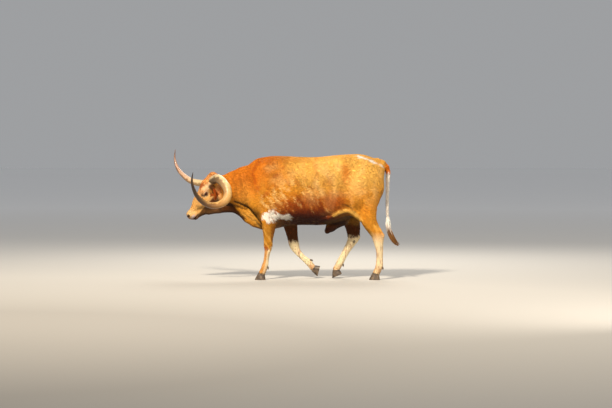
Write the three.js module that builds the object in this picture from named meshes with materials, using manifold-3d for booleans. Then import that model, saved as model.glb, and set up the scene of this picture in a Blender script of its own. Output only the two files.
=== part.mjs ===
// A life-size Texas longhorn steer, walking with its head low, as a still museum model.
// Millimetres, +Z up. The head points to -X, the animal's left side faces -Y, and the floor is z = 0.
// The flesh is one smooth field, made of rounded limbs and muscles that melt into each other. It is meshed,
// parted by thin flat cuts into head, neck, torso, legs, ears and tail, and simplified to few faces.
// Horns, eyes and hooves are hard pieces that sit in or against the flesh.
import * as THREE from "three";
import { mergeVertices } from "three/addons/utils/BufferGeometryUtils.js";
import Module from "manifold-3d";

const wasm = await Module();
wasm.setup();

const LEFT = -1;
const RIGHT = 1;
const SIDES = [LEFT, RIGHT];
const GAP = 0.3;
const degrees = Math.PI / 180;
const vec = (x, y, z) => new THREE.Vector3(x, y, z);

// Trunk sections: x, back line, belly line, half width, height of the widest place.
const TRUNK = [
  [-400, 1400, 700, 120, 1010],
  [-281, 1440, 604, 190, 970],
  [-167, 1464, 590, 232, 950],
  [24, 1462, 612, 282, 930],
  [213, 1453, 638, 318, 915],
  [400, 1454, 650, 330, 915],
  [600, 1474, 668, 312, 950],
  [760, 1485, 722, 282, 1010],
  [900, 1484, 800, 262, 1070],
  [1020, 1452, 900, 226, 1110],
  [1110, 1404, 1010, 168, 1140],
];
const TRUNK_FRONT = -385;
const TRUNK_REAR = 1142;
const TRUNK_END_ROUNDING = 90;
const BACK_ROUNDNESS = 1.85;
const BELLY_ROUNDNESS = 2.25;

// A chain is a row of joints down a limb: x, distance from the middle plane, z, and two radii, the first
// fore and aft, the second sideways.
const NECK = [
  [-330, 0, 1090, 300, 168],
  [-450, 0, 1086, 262, 136],
  [-570, 0, 1074, 222, 114],
  [-700, 0, 1052, 192, 104],
  [-790, 0, 1058, 168, 100],
];
const DEWLAP = [
  [-905, 0, 800, 34, 30],
  [-800, 0, 832, 52, 40],
  [-690, 0, 848, 54, 42],
  [-600, 0, 846, 60, 38],
  [-520, 0, 798, 58, 36],
  [-450, 0, 728, 60, 38],
  [-370, 0, 676, 58, 44],
  [-270, 0, 646, 62, 58],
];
// The web of skin between dewlap and breast.
const BREAST = [
  [-510, 0, 862, 56, 38],
  [-430, 0, 800, 60, 44],
  [-330, 0, 730, 66, 62],
];
const SHEATH = [
  [690, 0, 700, 66, 60],
  [610, 0, 668, 62, 54],
  [535, 0, 616, 60, 46],
  [494, 0, 572, 34, 30],
];
// The fold of skin from the belly over the flank to the stifle.
const FLANK_FOLD = [
  [420, 240, 727, 9, 8],
  [500, 248, 741, 20, 16],
  [564, 252, 772, 26, 21],
  [631, 254, 808, 28, 23],
  [707, 244, 828, 30, 25],
  [780, 218, 808, 30, 26],
  [838, 212, 764, 28, 26],
  [884, 204, 712, 24, 24],
];
const TAIL = [
  [1090, 0, 1392, 50, 46],
  [1150, 0, 1374, 42, 38],
  [1200, 0, 1330, 34, 32],
  [1220, 0, 1270, 29, 27],
  [1216, 0, 1180, 25, 23],
  [1212, 0, 1060, 22, 21],
  [1209, 0, 900, 20, 19],
  [1212, 0, 760, 19, 18],
];
const LEGS = {
  fore_left: {
    side: LEFT,
    chain: [
      [-188, 178, 800, 104, 70],
      [-196, 186, 690, 88, 66],
      [-198, 186, 590, 72, 58],
      [-204, 182, 478, 53, 46],
      [-205, 178, 402, 51, 46],
      [-209, 175, 348, 37, 37],
      [-220, 172, 290, 31, 30],
      [-232, 168, 212, 30, 30],
      [-244, 166, 160, 37, 38],
      [-261, 166, 116, 33, 36],
      [-276, 166, 84, 40, 45],
    ],
    foot: { at: [-282, 72], pitch: 0 },
    cutHeight: 600,
    block: [-420, -20, 62, 340],
  },
  fore_right: {
    side: RIGHT,
    chain: [
      [20, 174, 800, 108, 70],
      [45, 184, 690, 92, 66],
      [64, 187, 590, 76, 60],
      [84, 185, 478, 62, 50],
      [101, 183, 398, 58, 48],
      [124, 181, 340, 42, 39],
      [166, 180, 286, 34, 31],
      [224, 178, 230, 32, 31],
      [272, 176, 190, 39, 38],
      [300, 176, 154, 33, 36],
      [322, 176, 128, 39, 45],
    ],
    foot: { at: [331, 117], pitch: 76 },
    cutHeight: 600,
    block: [-120, 460, 62, 340],
  },
  hind_left: {
    side: LEFT,
    chain: [
      [962, 160, 900, 128, 92],
      [972, 182, 780, 104, 80],
      [990, 186, 690, 86, 72],
      [1030, 184, 610, 70, 58],
      [1074, 178, 540, 62, 48],
      [1096, 174, 480, 60, 46],
      [1106, 170, 415, 50, 43],
      [1114, 167, 350, 41, 37],
      [1115, 165, 240, 38, 34],
      [1110, 163, 160, 43, 42],
      [1092, 163, 114, 36, 38],
      [1078, 163, 84, 44, 48],
    ],
    heel: [
      [1040, 180, 690, 34, 26],
      [1112, 176, 590, 22, 17],
      [1148, 172, 524, 25, 22],
      [1132, 172, 470, 30, 26],
    ],
    foot: { at: [1072, 72], pitch: 0 },
    cutHeight: 690,
    block: [760, 1300, 20, 340],
  },
  hind_right: {
    side: RIGHT,
    chain: [
      [850, 160, 900, 136, 92],
      [792, 184, 780, 118, 80],
      [786, 188, 690, 98, 74],
      [800, 186, 610, 82, 62],
      [808, 182, 540, 72, 52],
      [806, 176, 470, 62, 47],
      [778, 172, 412, 50, 43],
      [740, 170, 350, 43, 37],
      [682, 166, 246, 39, 34],
      [648, 164, 182, 43, 42],
      [624, 164, 138, 36, 38],
      [608, 164, 110, 43, 48],
    ],
    heel: [
      [850, 182, 690, 34, 26],
      [868, 178, 590, 22, 17],
      [866, 174, 486, 25, 22],
      [838, 174, 452, 30, 26],
    ],
    foot: { at: [603, 99], pitch: 24 },
    cutHeight: 690,
    block: [560, 1010, 20, 340],
  },
};

// Muscles and bones that swell from the body: centre, half sizes, tilt about Y in degrees, blend.
const MUSCLES = [
  { at: [-215, 118, 1190], size: [120, 66, 180], tilt: 14, blend: 110 },
  { at: [-240, 150, 1000], size: [140, 80, 190], tilt: -8, blend: 110 },
  { at: [-130, 190, 862], size: [112, 58, 150], tilt: 20, blend: 80 },
  { at: [-330, 120, 905], size: [88, 80, 110], tilt: 20, blend: 80 },
  { at: [712, 168, 1366], size: [104, 58, 60], tilt: -10, blend: 140 },
  { at: [1105, 86, 1300], size: [62, 46, 62], tilt: 0, blend: 90 },
  { at: [925, 140, 1110], size: [222, 122, 300], tilt: 6, blend: 110 },
  { at: [800, 176, 960], size: [110, 78, 180], tilt: -10, blend: 90 },
];

// The head in its own frame: u runs from the poll to the muzzle, v towards the forehead, w sideways.
const HEAD = {
  poll: vec(-865, 0, 1225),
  pivot: vec(-800, 0, 1080),
  pitch: 58.5,
  yaw: 8,
  roll: 8,
};
const HEAD_FORMS = [
  { kind: "ball", at: [88, -18, 0], size: [130, 84, 104], blend: 60 },
  { kind: "ball", at: [10, 22, 0], size: [52, 48, 80], blend: 45 },
  { kind: "ball", at: [25, -12, 62], size: [56, 52, 46], blend: 30, pair: true },
  { kind: "limb", from: [150, 0, 0, 76, 88], to: [345, -18, 0, 62, 66], blend: 60 },
  { kind: "limb", from: [345, -18, 0, 60, 66], to: [520, -26, 0, 50, 62], blend: 60 },
  { kind: "ball", at: [198, 6, 78], size: [56, 44, 40], blend: 40, pair: true },
  { kind: "ball", at: [300, -62, 48], size: [92, 40, 42], blend: 45, pair: true },
  { kind: "ball", at: [245, -118, 52], size: [118, 92, 46], blend: 45, pair: true },
  { kind: "limb", from: [230, -140, 0, 78, 56], to: [420, -104, 0, 52, 48], blend: 50 },
  { kind: "limb", from: [420, -104, 0, 50, 48], to: [505, -86, 0, 36, 46], blend: 40 },
  { kind: "ball", at: [532, -28, 0], size: [52, 54, 62], blend: 40 },
  { kind: "ball", at: [540, -6, 42], size: [34, 32, 30], blend: 26, pair: true },
  { kind: "ball", at: [505, -50, 30], size: [58, 34, 40], blend: 30, pair: true },
  { kind: "ball", at: [524, -88, 0], size: [36, 25, 46], blend: 16 },
];
const EYE = { at: [216, -24, 92], radius: 22 };
const HEAD_CUTS = [
  { kind: "ball", at: [216, -24, 122], size: [25, 16, 22], blend: 8, pair: true },
  { kind: "limb", from: [572, 0, 44, 12, 10], to: [552, 8, 62, 11, 9], blend: 6, pair: true },
  { kind: "limb", from: [556, -6, 40, 10, 8], to: [535, 0, 36, 8, 8], blend: 6, pair: true },
  { kind: "limb", from: [592, -66, 0, 4, 12], to: [566, -66, 46, 4.5, 9], blend: 5, pair: true },
  { kind: "limb", from: [566, -66, 46, 4.5, 9], to: [468, -84, 66, 4.5, 10], blend: 5, pair: true },
];
const LIDS = [
  { kind: "limb", from: [194, -20, 110, 6, 7], to: [210, -6, 114, 8, 8], blend: 7, pair: true },
  { kind: "limb", from: [210, -6, 114, 8, 8], to: [228, -7, 111, 8, 8], blend: 7, pair: true },
  { kind: "limb", from: [228, -7, 111, 8, 8], to: [244, -24, 103, 6, 7], blend: 7, pair: true },
  { kind: "limb", from: [194, -24, 110, 5, 6], to: [212, -41, 110, 6, 6], blend: 7, pair: true },
  { kind: "limb", from: [212, -41, 110, 6, 6], to: [244, -27, 102, 5, 6], blend: 7, pair: true },
  { kind: "limb", from: [190, 8, 106, 9, 9], to: [228, 8, 104, 9, 9], blend: 16, pair: true },
];

// Each ear: root in the head's frame, and the way it points, in the same frame.
const EAR = {
  root: [122, -72, 92],
  tip: [196, -120, 262],
  width: 50,
  depth: 30,
  wall: 9,
  opensTowards: [0.62, 0.42, 0.3],
};

// Horn centre lines in the body's frame, as x, y, z and radius.
const HORNS = {
  horn_left: [
    [-872, -34, 1176, 44],
    [-858, -112, 1179, 50],
    [-806, -200, 1200, 51],
    [-736, -270, 1156, 51],
    [-683, -330, 1073, 50],
    [-678, -362, 1002, 49],
    [-706, -400, 942, 46],
    [-768, -436, 902, 42],
    [-846, -474, 889, 38],
    [-921, -512, 910, 34],
    [-981, -550, 950, 30],
    [-1030, -585, 1007, 25],
    [-1062, -622, 1076, 20],
    [-1082, -656, 1158, 14],
    [-1080, -678, 1222, 9],
    [-1069, -694, 1281, 3],
  ],
  horn_right: [
    [-872, 26, 1204, 44],
    [-874, 104, 1204, 50],
    [-868, 200, 1190, 50],
    [-880, 300, 1154, 48],
    [-935, 380, 1130, 45],
    [-1004, 430, 1128, 42],
    [-1080, 484, 1136, 39],
    [-1162, 542, 1160, 35],
    [-1242, 598, 1216, 29],
    [-1318, 648, 1302, 21],
    [-1356, 680, 1418, 12],
    [-1352, 694, 1534, 3],
  ],
};
const HORN_SIDES = 12;
const HORN_RINGS = 28;

// Fields

function melt(a, b, blend) {
  const h = Math.max(blend - Math.abs(a - b), 0) / blend;
  return Math.min(a, b) - (h * h * blend) / 4;
}

const carve = (a, b, blend) => -melt(-a, b, blend);

// Smooth values between the rows of a table whose first column rises.
function between(rows, x) {
  const last = rows.length - 1;
  const here = Math.min(Math.max(x, rows[0][0]), rows[last][0]);
  let i = 0;
  while (i < last - 1 && rows[i + 1][0] < here) i += 1;
  const slope = (j, c) => {
    const lo = rows[Math.max(j - 1, 0)];
    const hi = rows[Math.min(j + 1, last)];
    return (hi[c] - lo[c]) / (hi[0] - lo[0]);
  };
  const step = rows[i + 1][0] - rows[i][0];
  const t = (here - rows[i][0]) / step;
  const rising = t * t * (3 - 2 * t);
  return [1, 2, 3, 4].map(
    (c) =>
      rows[i][c] * (1 - rising) +
      rows[i + 1][c] * rising +
      step * (t * (1 - t) * (1 - t) * slope(i, c) - t * t * (1 - t) * slope(i + 1, c)),
  );
}

// The trunk's sections are worked out once, at every millimetre of its length.
const TRUNK_START = TRUNK[0][0];
const TRUNK_ROWS = Array.from({ length: TRUNK.at(-1)[0] - TRUNK_START + 1 }, (_, i) =>
  between(TRUNK, TRUNK_START + i),
);

function trunk(x, y, z) {
  const i = Math.min(Math.max(Math.round(x - TRUNK_START), 0), TRUNK_ROWS.length - 1);
  const [top, bottom, halfWidth, widest] = TRUNK_ROWS[i];
  const up = z > widest;
  const height = up ? top - widest : widest - bottom;
  const power = up ? BACK_ROUNDNESS : BELLY_ROUNDNESS;
  const sideways = Math.pow(Math.abs(y) / halfWidth, power);
  const upright = Math.pow(Math.abs(z - widest) / height, power);
  const share = Math.pow(sideways + upright, 1 / power);
  const reach = Math.hypot(y, z - widest);
  const section = share < 1e-3 ? -height : reach * (1 - 1 / share);
  const rear = carve(section, TRUNK_REAR - x, TRUNK_END_ROUNDING);
  return carve(rear, x - TRUNK_FRONT, TRUNK_END_ROUNDING);
}

// A tapered limb, round or oval, with its wider way in the x-z plane or across it.
function limb(from, to, x, y, z) {
  const [ax, ay, az, ar, aw] = from;
  const [bx, by, bz, br, bw] = to;
  const dx = bx - ax;
  const dy = by - ay;
  const dz = bz - az;
  const along = ((x - ax) * dx + (y - ay) * dy + (z - az) * dz) / (dx * dx + dy * dy + dz * dz);
  const t = Math.min(Math.max(along, 0), 1);
  const px = x - ax - dx * t;
  const py = y - ay - dy * t;
  const pz = z - az - dz * t;
  const r = ar + (br - ar) * t;
  const w = aw + (bw - aw) * t;
  const share = Math.sqrt((px * px + pz * pz) / (r * r) + (py * py) / (w * w));
  const reach = Math.sqrt(px * px + py * py + pz * pz);
  return share < 1e-3 ? -Math.min(r, w) : reach * (1 - 1 / share);
}

// An ellipsoid, tilted about the sideways axis.
function ball(at, size, tilt, x, y, z) {
  const c = Math.cos(tilt * degrees);
  const s = Math.sin(tilt * degrees);
  const px = (x - at[0]) * c + (z - at[2]) * s;
  const py = y - at[1];
  const pz = (z - at[2]) * c - (x - at[0]) * s;
  const share = Math.sqrt((px / size[0]) ** 2 + (py / size[1]) ** 2 + (pz / size[2]) ** 2);
  const reach = Math.sqrt(px * px + py * py + pz * pz);
  return share < 1e-3 ? -Math.min(...size) : reach * (1 - 1 / share);
}

// A form that is far away leaves the field alone, so it is measured only where it can reach.
function near(centre, reach, x, y, z) {
  const dx = x - centre[0];
  const dy = y - centre[1];
  const dz = z - centre[2];
  return dx * dx + dy * dy + dz * dz < reach * reach;
}

function limbForm(from, to, blend) {
  const centre = [0, 1, 2].map((i) => (from[i] + to[i]) / 2);
  const half = Math.hypot(from[0] - to[0], from[1] - to[1], from[2] - to[2]) / 2;
  const reach = half + Math.max(from[3], to[3], from[4], to[4]) * 1.6 + blend + 40;
  return { centre, reach, blend, at: (x, y, z) => limb(from, to, x, y, z) };
}

function ballForm(at, size, tilt, blend) {
  const reach = Math.max(...size) * 1.6 + blend + 40;
  return { centre: at, reach, blend, at: (x, y, z) => ball(at, size, tilt, x, y, z) };
}

const LEG_BLEND = 60;
const HEEL_BLEND = 26;
const FOLD_BLEND = 28;
const CHAIN_BLEND = 12;

// A cubic through four values, from the second to the third as t goes from 0 to 1.
const catmull = (a, b, c, d, t) =>
  0.5 *
  (2 * b + (c - a) * t + (2 * a - 5 * b + 4 * c - d) * t ** 2 + (3 * b - a - 3 * c + d) * t ** 3);

// A chain's joints are rounded off by short steps along a smooth line. Its first step melts into the body.
function chainForms(chain, side, blend, steps, laterBlend = CHAIN_BLEND) {
  const rows = chain.map(([x, y, z, r, w]) => [x, y * side, z, r, w]);
  const rowAt = (j) => rows[Math.min(Math.max(j, 0), rows.length - 1)];
  const fine = [];
  for (let i = 0; i < rows.length - 1; i += 1) {
    const [a, b, c, d] = [i - 1, i, i + 1, i + 2].map(rowAt);
    for (let step = 0; step < steps; step += 1) {
      const t = step / steps;
      fine.push(b.map((_, k) => catmull(a[k], b[k], c[k], d[k], t)));
    }
  }
  fine.push(rows.at(-1));
  return fine.slice(1).map((row, i) => limbForm(fine[i], row, i ? laterBlend : blend));
}

const bodyForms = [
  ...chainForms(NECK, 1, 110, 1),
  ...chainForms(DEWLAP, 1, 46, 1),
  ...chainForms(BREAST, 1, 46, 1, 40),
  ...chainForms(SHEATH, 1, 50, 1),
  ...chainForms(TAIL, 1, 30, 1),
  ...MUSCLES.flatMap(({ at, size, tilt, blend }) =>
    SIDES.map((side) => ballForm([at[0], at[1] * side, at[2]], size, tilt, blend)),
  ),
  ...SIDES.flatMap((side) => chainForms(FLANK_FOLD, side, FOLD_BLEND, 1, FOLD_BLEND)),
  ...Object.values(LEGS).flatMap(({ side, chain, heel }) => [
    ...chainForms(chain, side, LEG_BLEND, 2),
    ...(heel ? chainForms(heel, side, HEEL_BLEND, 1) : []),
  ]),
];

// The head's frame, with u, v and w as its x, z and y.
const headTurn = new THREE.Matrix4()
  .makeTranslation(HEAD.pivot.x, HEAD.pivot.y, HEAD.pivot.z)
  .multiply(new THREE.Matrix4().makeRotationZ(HEAD.yaw * degrees))
  .multiply(new THREE.Matrix4().makeRotationX(HEAD.roll * degrees))
  .multiply(new THREE.Matrix4().makeTranslation(-HEAD.pivot.x, -HEAD.pivot.y, -HEAD.pivot.z));
const downX = -Math.cos(HEAD.pitch * degrees);
const downZ = -Math.sin(HEAD.pitch * degrees);
const headFrame = new THREE.Matrix4()
  .makeBasis(vec(downX, 0, downZ), vec(0, -1, 0), vec(downZ, 0, -downX))
  .setPosition(HEAD.poll)
  .premultiply(headTurn);
const headInverse = headFrame.clone().invert().elements;
const inHead = (x, y, z) => [
  headInverse[0] * x + headInverse[4] * y + headInverse[8] * z + headInverse[12],
  headInverse[1] * x + headInverse[5] * y + headInverse[9] * z + headInverse[13],
  headInverse[2] * x + headInverse[6] * y + headInverse[10] * z + headInverse[14],
];
const fromHead = ([u, v, w]) => vec(u, w, v).applyMatrix4(headFrame);

function headForms(list) {
  return list.flatMap((form) => {
    const sides = form.pair ? SIDES : [1];
    return sides.map((side) => {
      if (form.kind === "ball") {
        const [u, v, w] = form.at;
        const [su, sv, sw] = form.size;
        return ballForm([u, w * side, v], [su, sw, sv], form.tilt ?? 0, form.blend);
      }
      const end = ([u, v, w, r, wide]) => [u, w * side, v, r, wide];
      return limbForm(end(form.from), end(form.to), form.blend);
    });
  });
}

const headSolids = headForms(HEAD_FORMS);
const headCuts = headForms(HEAD_CUTS);
const headLids = headForms(LIDS);

// Each ear has a frame of its own: along the ear, across it, and out of its cup.
function earFrame(side) {
  const place = ([u, v, w]) => vec(u, w * side, v);
  const root = place(EAR.root);
  const along = place(EAR.tip).sub(root);
  const length = along.length();
  along.normalize();
  const [ou, ov, ow] = EAR.opensTowards;
  const out = vec(ou, ow * side, ov);
  out.addScaledVector(along, -out.dot(along)).normalize();
  const across = new THREE.Vector3().crossVectors(out, along);
  return { side, root, along, across, out, length };
}
const ears = SIDES.map(earFrame);

function ear({ root, along, across, out, length }, x, y, z) {
  const px = x - root.x;
  const py = y - root.y;
  const pz = z - root.z;
  const a = px * along.x + py * along.y + pz * along.z;
  const b = px * across.x + py * across.y + pz * across.z;
  const c = px * out.x + py * out.y + pz * out.z;
  const half = length / 2;
  const leaf = ball([half, 0, 0], [half, EAR.width, EAR.depth], 0, a, b, c);
  const inner = [half - EAR.wall, EAR.width - EAR.wall, EAR.depth];
  const cup = ball([half + EAR.wall, 0, EAR.wall * 1.3], inner, 0, a, b, c);
  const stalk = limb([-30, 0, -4, 26, 26], [26, 0, -6, 22, 24], a, b, c);
  return melt(carve(leaf, cup, 6), stalk, 24);
}

// How far an ear's wall lies from its middle line at a place along it.
function earWallAt(a) {
  const half = Math.hypot(...EAR.tip.map((t, i) => t - EAR.root[i])) / 2;
  return (EAR.width - EAR.wall / 2) * Math.sqrt(Math.max(1 - ((a - half) / half) ** 2, 0));
}

const EAR_BLEND = 22;
const EAR_CUT = 44;
const HEAD_BLEND = 70;
const HEAD_REACH = 560;
const headCentre = fromHead([260, -60, 0]).toArray();

function melted(forms, start, x, y, z) {
  let d = start;
  for (const form of forms) {
    if (near(form.centre, form.reach, x, y, z)) d = melt(d, form.at(x, y, z), form.blend);
  }
  return d;
}

// Distance to the whole animal's flesh: negative inside.
function flesh(x, y, z) {
  const start = x > TRUNK_FRONT - 220 ? trunk(x, y, z) : 1e3;
  let d = melted(bodyForms, start, x, y, z);
  if (!near(headCentre, HEAD_REACH, x, y, z)) return d;
  const [u, w, v] = inHead(x, y, z);
  const head = melted(headSolids, 1e3, u, w, v);
  d = melt(d, head, HEAD_BLEND);
  for (const frame of ears) {
    if (near(frame.root.toArray(), 420, u, w, v)) d = melt(d, ear(frame, u, w, v), EAR_BLEND);
  }
  d = melted(headLids, d, u, w, v);
  for (const form of headCuts) {
    if (near(form.centre, form.reach, u, w, v)) d = carve(d, form.at(u, w, v), form.blend);
  }
  return d;
}

// Meshing

// The surface is found by splitting each cell into six tetrahedra, which always gives a closed mesh.
// Outside the box everything counts as empty. A corner of a cell is numbered by its bits, x first.
const TETRAHEDRA = [
  [0, 1, 3, 7],
  [0, 3, 2, 7],
  [0, 2, 6, 7],
  [0, 6, 4, 7],
  [0, 4, 5, 7],
  [0, 5, 1, 7],
];

const ONE_FIRST = [
  [0, 1, 2, 3],
  [1, 0, 3, 2],
  [2, 0, 1, 3],
  [3, 0, 2, 1],
];
const PAIR_FIRST = [
  [0, 1, 2, 3],
  [0, 2, 3, 1],
  [0, 3, 1, 2],
  [1, 2, 0, 3],
  [1, 3, 2, 0],
  [2, 3, 0, 1],
];

const BLOCK = 4;

function surfaceOf(field, low, high, cell) {
  const n = low.map((l, i) => Math.ceil((high[i] - l) / cell) + 3);
  const at = (i, axis) => low[axis] + (i - 1) * cell;
  const values = new Float32Array(n[0] * n[1] * n[2]).fill(cell);
  const strides = [n[1] * n[2], n[2], 1];
  const index = (i, j, k) => i * strides[0] + j * strides[1] + k;
  // A block of cells that lies far from the surface takes the value at its middle.
  const farAway = 3 * Math.sqrt(3) * cell * (BLOCK / 2);
  const blockRange = (start, axis) => [start, Math.min(start + BLOCK, n[axis] - 1)];
  for (let bi = 1; bi < n[0] - 1; bi += BLOCK)
    for (let bj = 1; bj < n[1] - 1; bj += BLOCK)
      for (let bk = 1; bk < n[2] - 1; bk += BLOCK) {
        const middle = BLOCK / 2 - 0.5;
        const sample = field(at(bi + middle, 0), at(bj + middle, 1), at(bk + middle, 2));
        const skip = Math.abs(sample) > farAway;
        const [i0, i1] = blockRange(bi, 0);
        const [j0, j1] = blockRange(bj, 1);
        const [k0, k1] = blockRange(bk, 2);
        for (let i = i0; i < i1; i += 1)
          for (let j = j0; j < j1; j += 1)
            for (let k = k0; k < k1; k += 1)
              values[index(i, j, k)] = skip ? sample : field(at(i, 0), at(j, 1), at(k, 2));
      }
  const points = [];
  const triangles = [];
  const found = new Map();
  const cornerStep = Array.from({ length: 8 }, (_, c) =>
    [0, 1, 2].reduce((sum, axis) => sum + ((c >> axis) & 1) * strides[axis], 0),
  );
  const crossing = (cellIndex, a, b) => {
    const [from, to] = a < b ? [a, b] : [b, a];
    const start = cellIndex + cornerStep[from];
    const key = start * 8 + (to - from);
    if (found.has(key)) return found.get(key);
    const end = cellIndex + cornerStep[to];
    const t = Math.min(Math.max(values[start] / (values[start] - values[end]), 0.02), 0.98);
    const i = Math.floor(start / strides[0]);
    const j = Math.floor((start % strides[0]) / strides[1]);
    const k = start % strides[1];
    const bits = to - from;
    const shift = [bits & 1, (bits >> 1) & 1, bits >> 2];
    points.push(...[i, j, k].map((step, axis) => at(step + t * shift[axis], axis)));
    found.set(key, points.length / 3 - 1);
    return found.get(key);
  };
  const inside = new Array(8);
  for (let i = 0; i < n[0] - 1; i += 1)
    for (let j = 0; j < n[1] - 1; j += 1)
      for (let k = 0; k < n[2] - 1; k += 1) {
        const c = index(i, j, k);
        let count = 0;
        for (let corner = 0; corner < 8; corner += 1) {
          inside[corner] = values[c + cornerStep[corner]] < 0;
          if (inside[corner]) count += 1;
        }
        if (count === 0 || count === 8) continue;
        for (const tetra of TETRAHEDRA) {
          const within = tetra.filter((corner) => inside[corner]).length;
          if (within === 0 || within === 4) continue;
          // An even order of the four corners puts the odd one, or the inner pair, first.
          const orders = within === 2 ? PAIR_FIRST : ONE_FIRST;
          const wanted = within !== 3;
          const order = orders.find((o) =>
            o.every((slot, place) =>
              place < (within === 2 ? 2 : 1)
                ? inside[tetra[slot]] === wanted
                : inside[tetra[slot]] !== wanted,
            ),
          );
          const [p, q, r, s] = order.map((slot) => tetra[slot]);
          if (within === 2) {
            const ring = [crossing(c, p, r), crossing(c, p, s), crossing(c, q, s), crossing(c, q, r)];
            triangles.push(ring[0], ring[1], ring[2], ring[0], ring[2], ring[3]);
          } else {
            const ring = [crossing(c, p, q), crossing(c, p, r), crossing(c, p, s)];
            triangles.push(...(within === 1 ? ring : ring.reverse()));
          }
        }
      }
  return { points, triangles };
}

// Moves each vertex onto the surface along the field's slope.
function settle(mesh, field, cell) {
  const p = mesh.points;
  const step = cell * 0.05;
  for (let round = 0; round < 2; round += 1)
    for (let i = 0; i < p.length; i += 3) {
      const [x, y, z] = [p[i], p[i + 1], p[i + 2]];
      const d = field(x, y, z);
      const g = [
        field(x + step, y, z) - field(x - step, y, z),
        field(x, y + step, z) - field(x, y - step, z),
        field(x, y, z + step) - field(x, y, z - step),
      ].map((slope) => slope / (2 * step));
      const size = g[0] * g[0] + g[1] * g[1] + g[2] * g[2];
      if (size < 0.04) continue;
      const move = Math.max(-cell / 4, Math.min(cell / 4, d / Math.sqrt(size))) / Math.sqrt(size);
      p[i] -= g[0] * move;
      p[i + 1] -= g[1] * move;
      p[i + 2] -= g[2] * move;
    }
  return mesh;
}

const solidFrom = ({ points, triangles }) =>
  new wasm.Manifold(
    new wasm.Mesh({
      numProp: 3,
      vertProperties: new Float32Array(points),
      triVerts: new Uint32Array(triangles),
    }),
  );

function meshFrom(solid) {
  const { numProp, vertProperties, triVerts, numVert } = solid.getMesh();
  const points = [];
  for (let i = 0; i < numVert; i += 1)
    points.push(...vertProperties.subarray(i * numProp, i * numProp + 3));
  return { points, triangles: Array.from(triVerts) };
}

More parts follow.
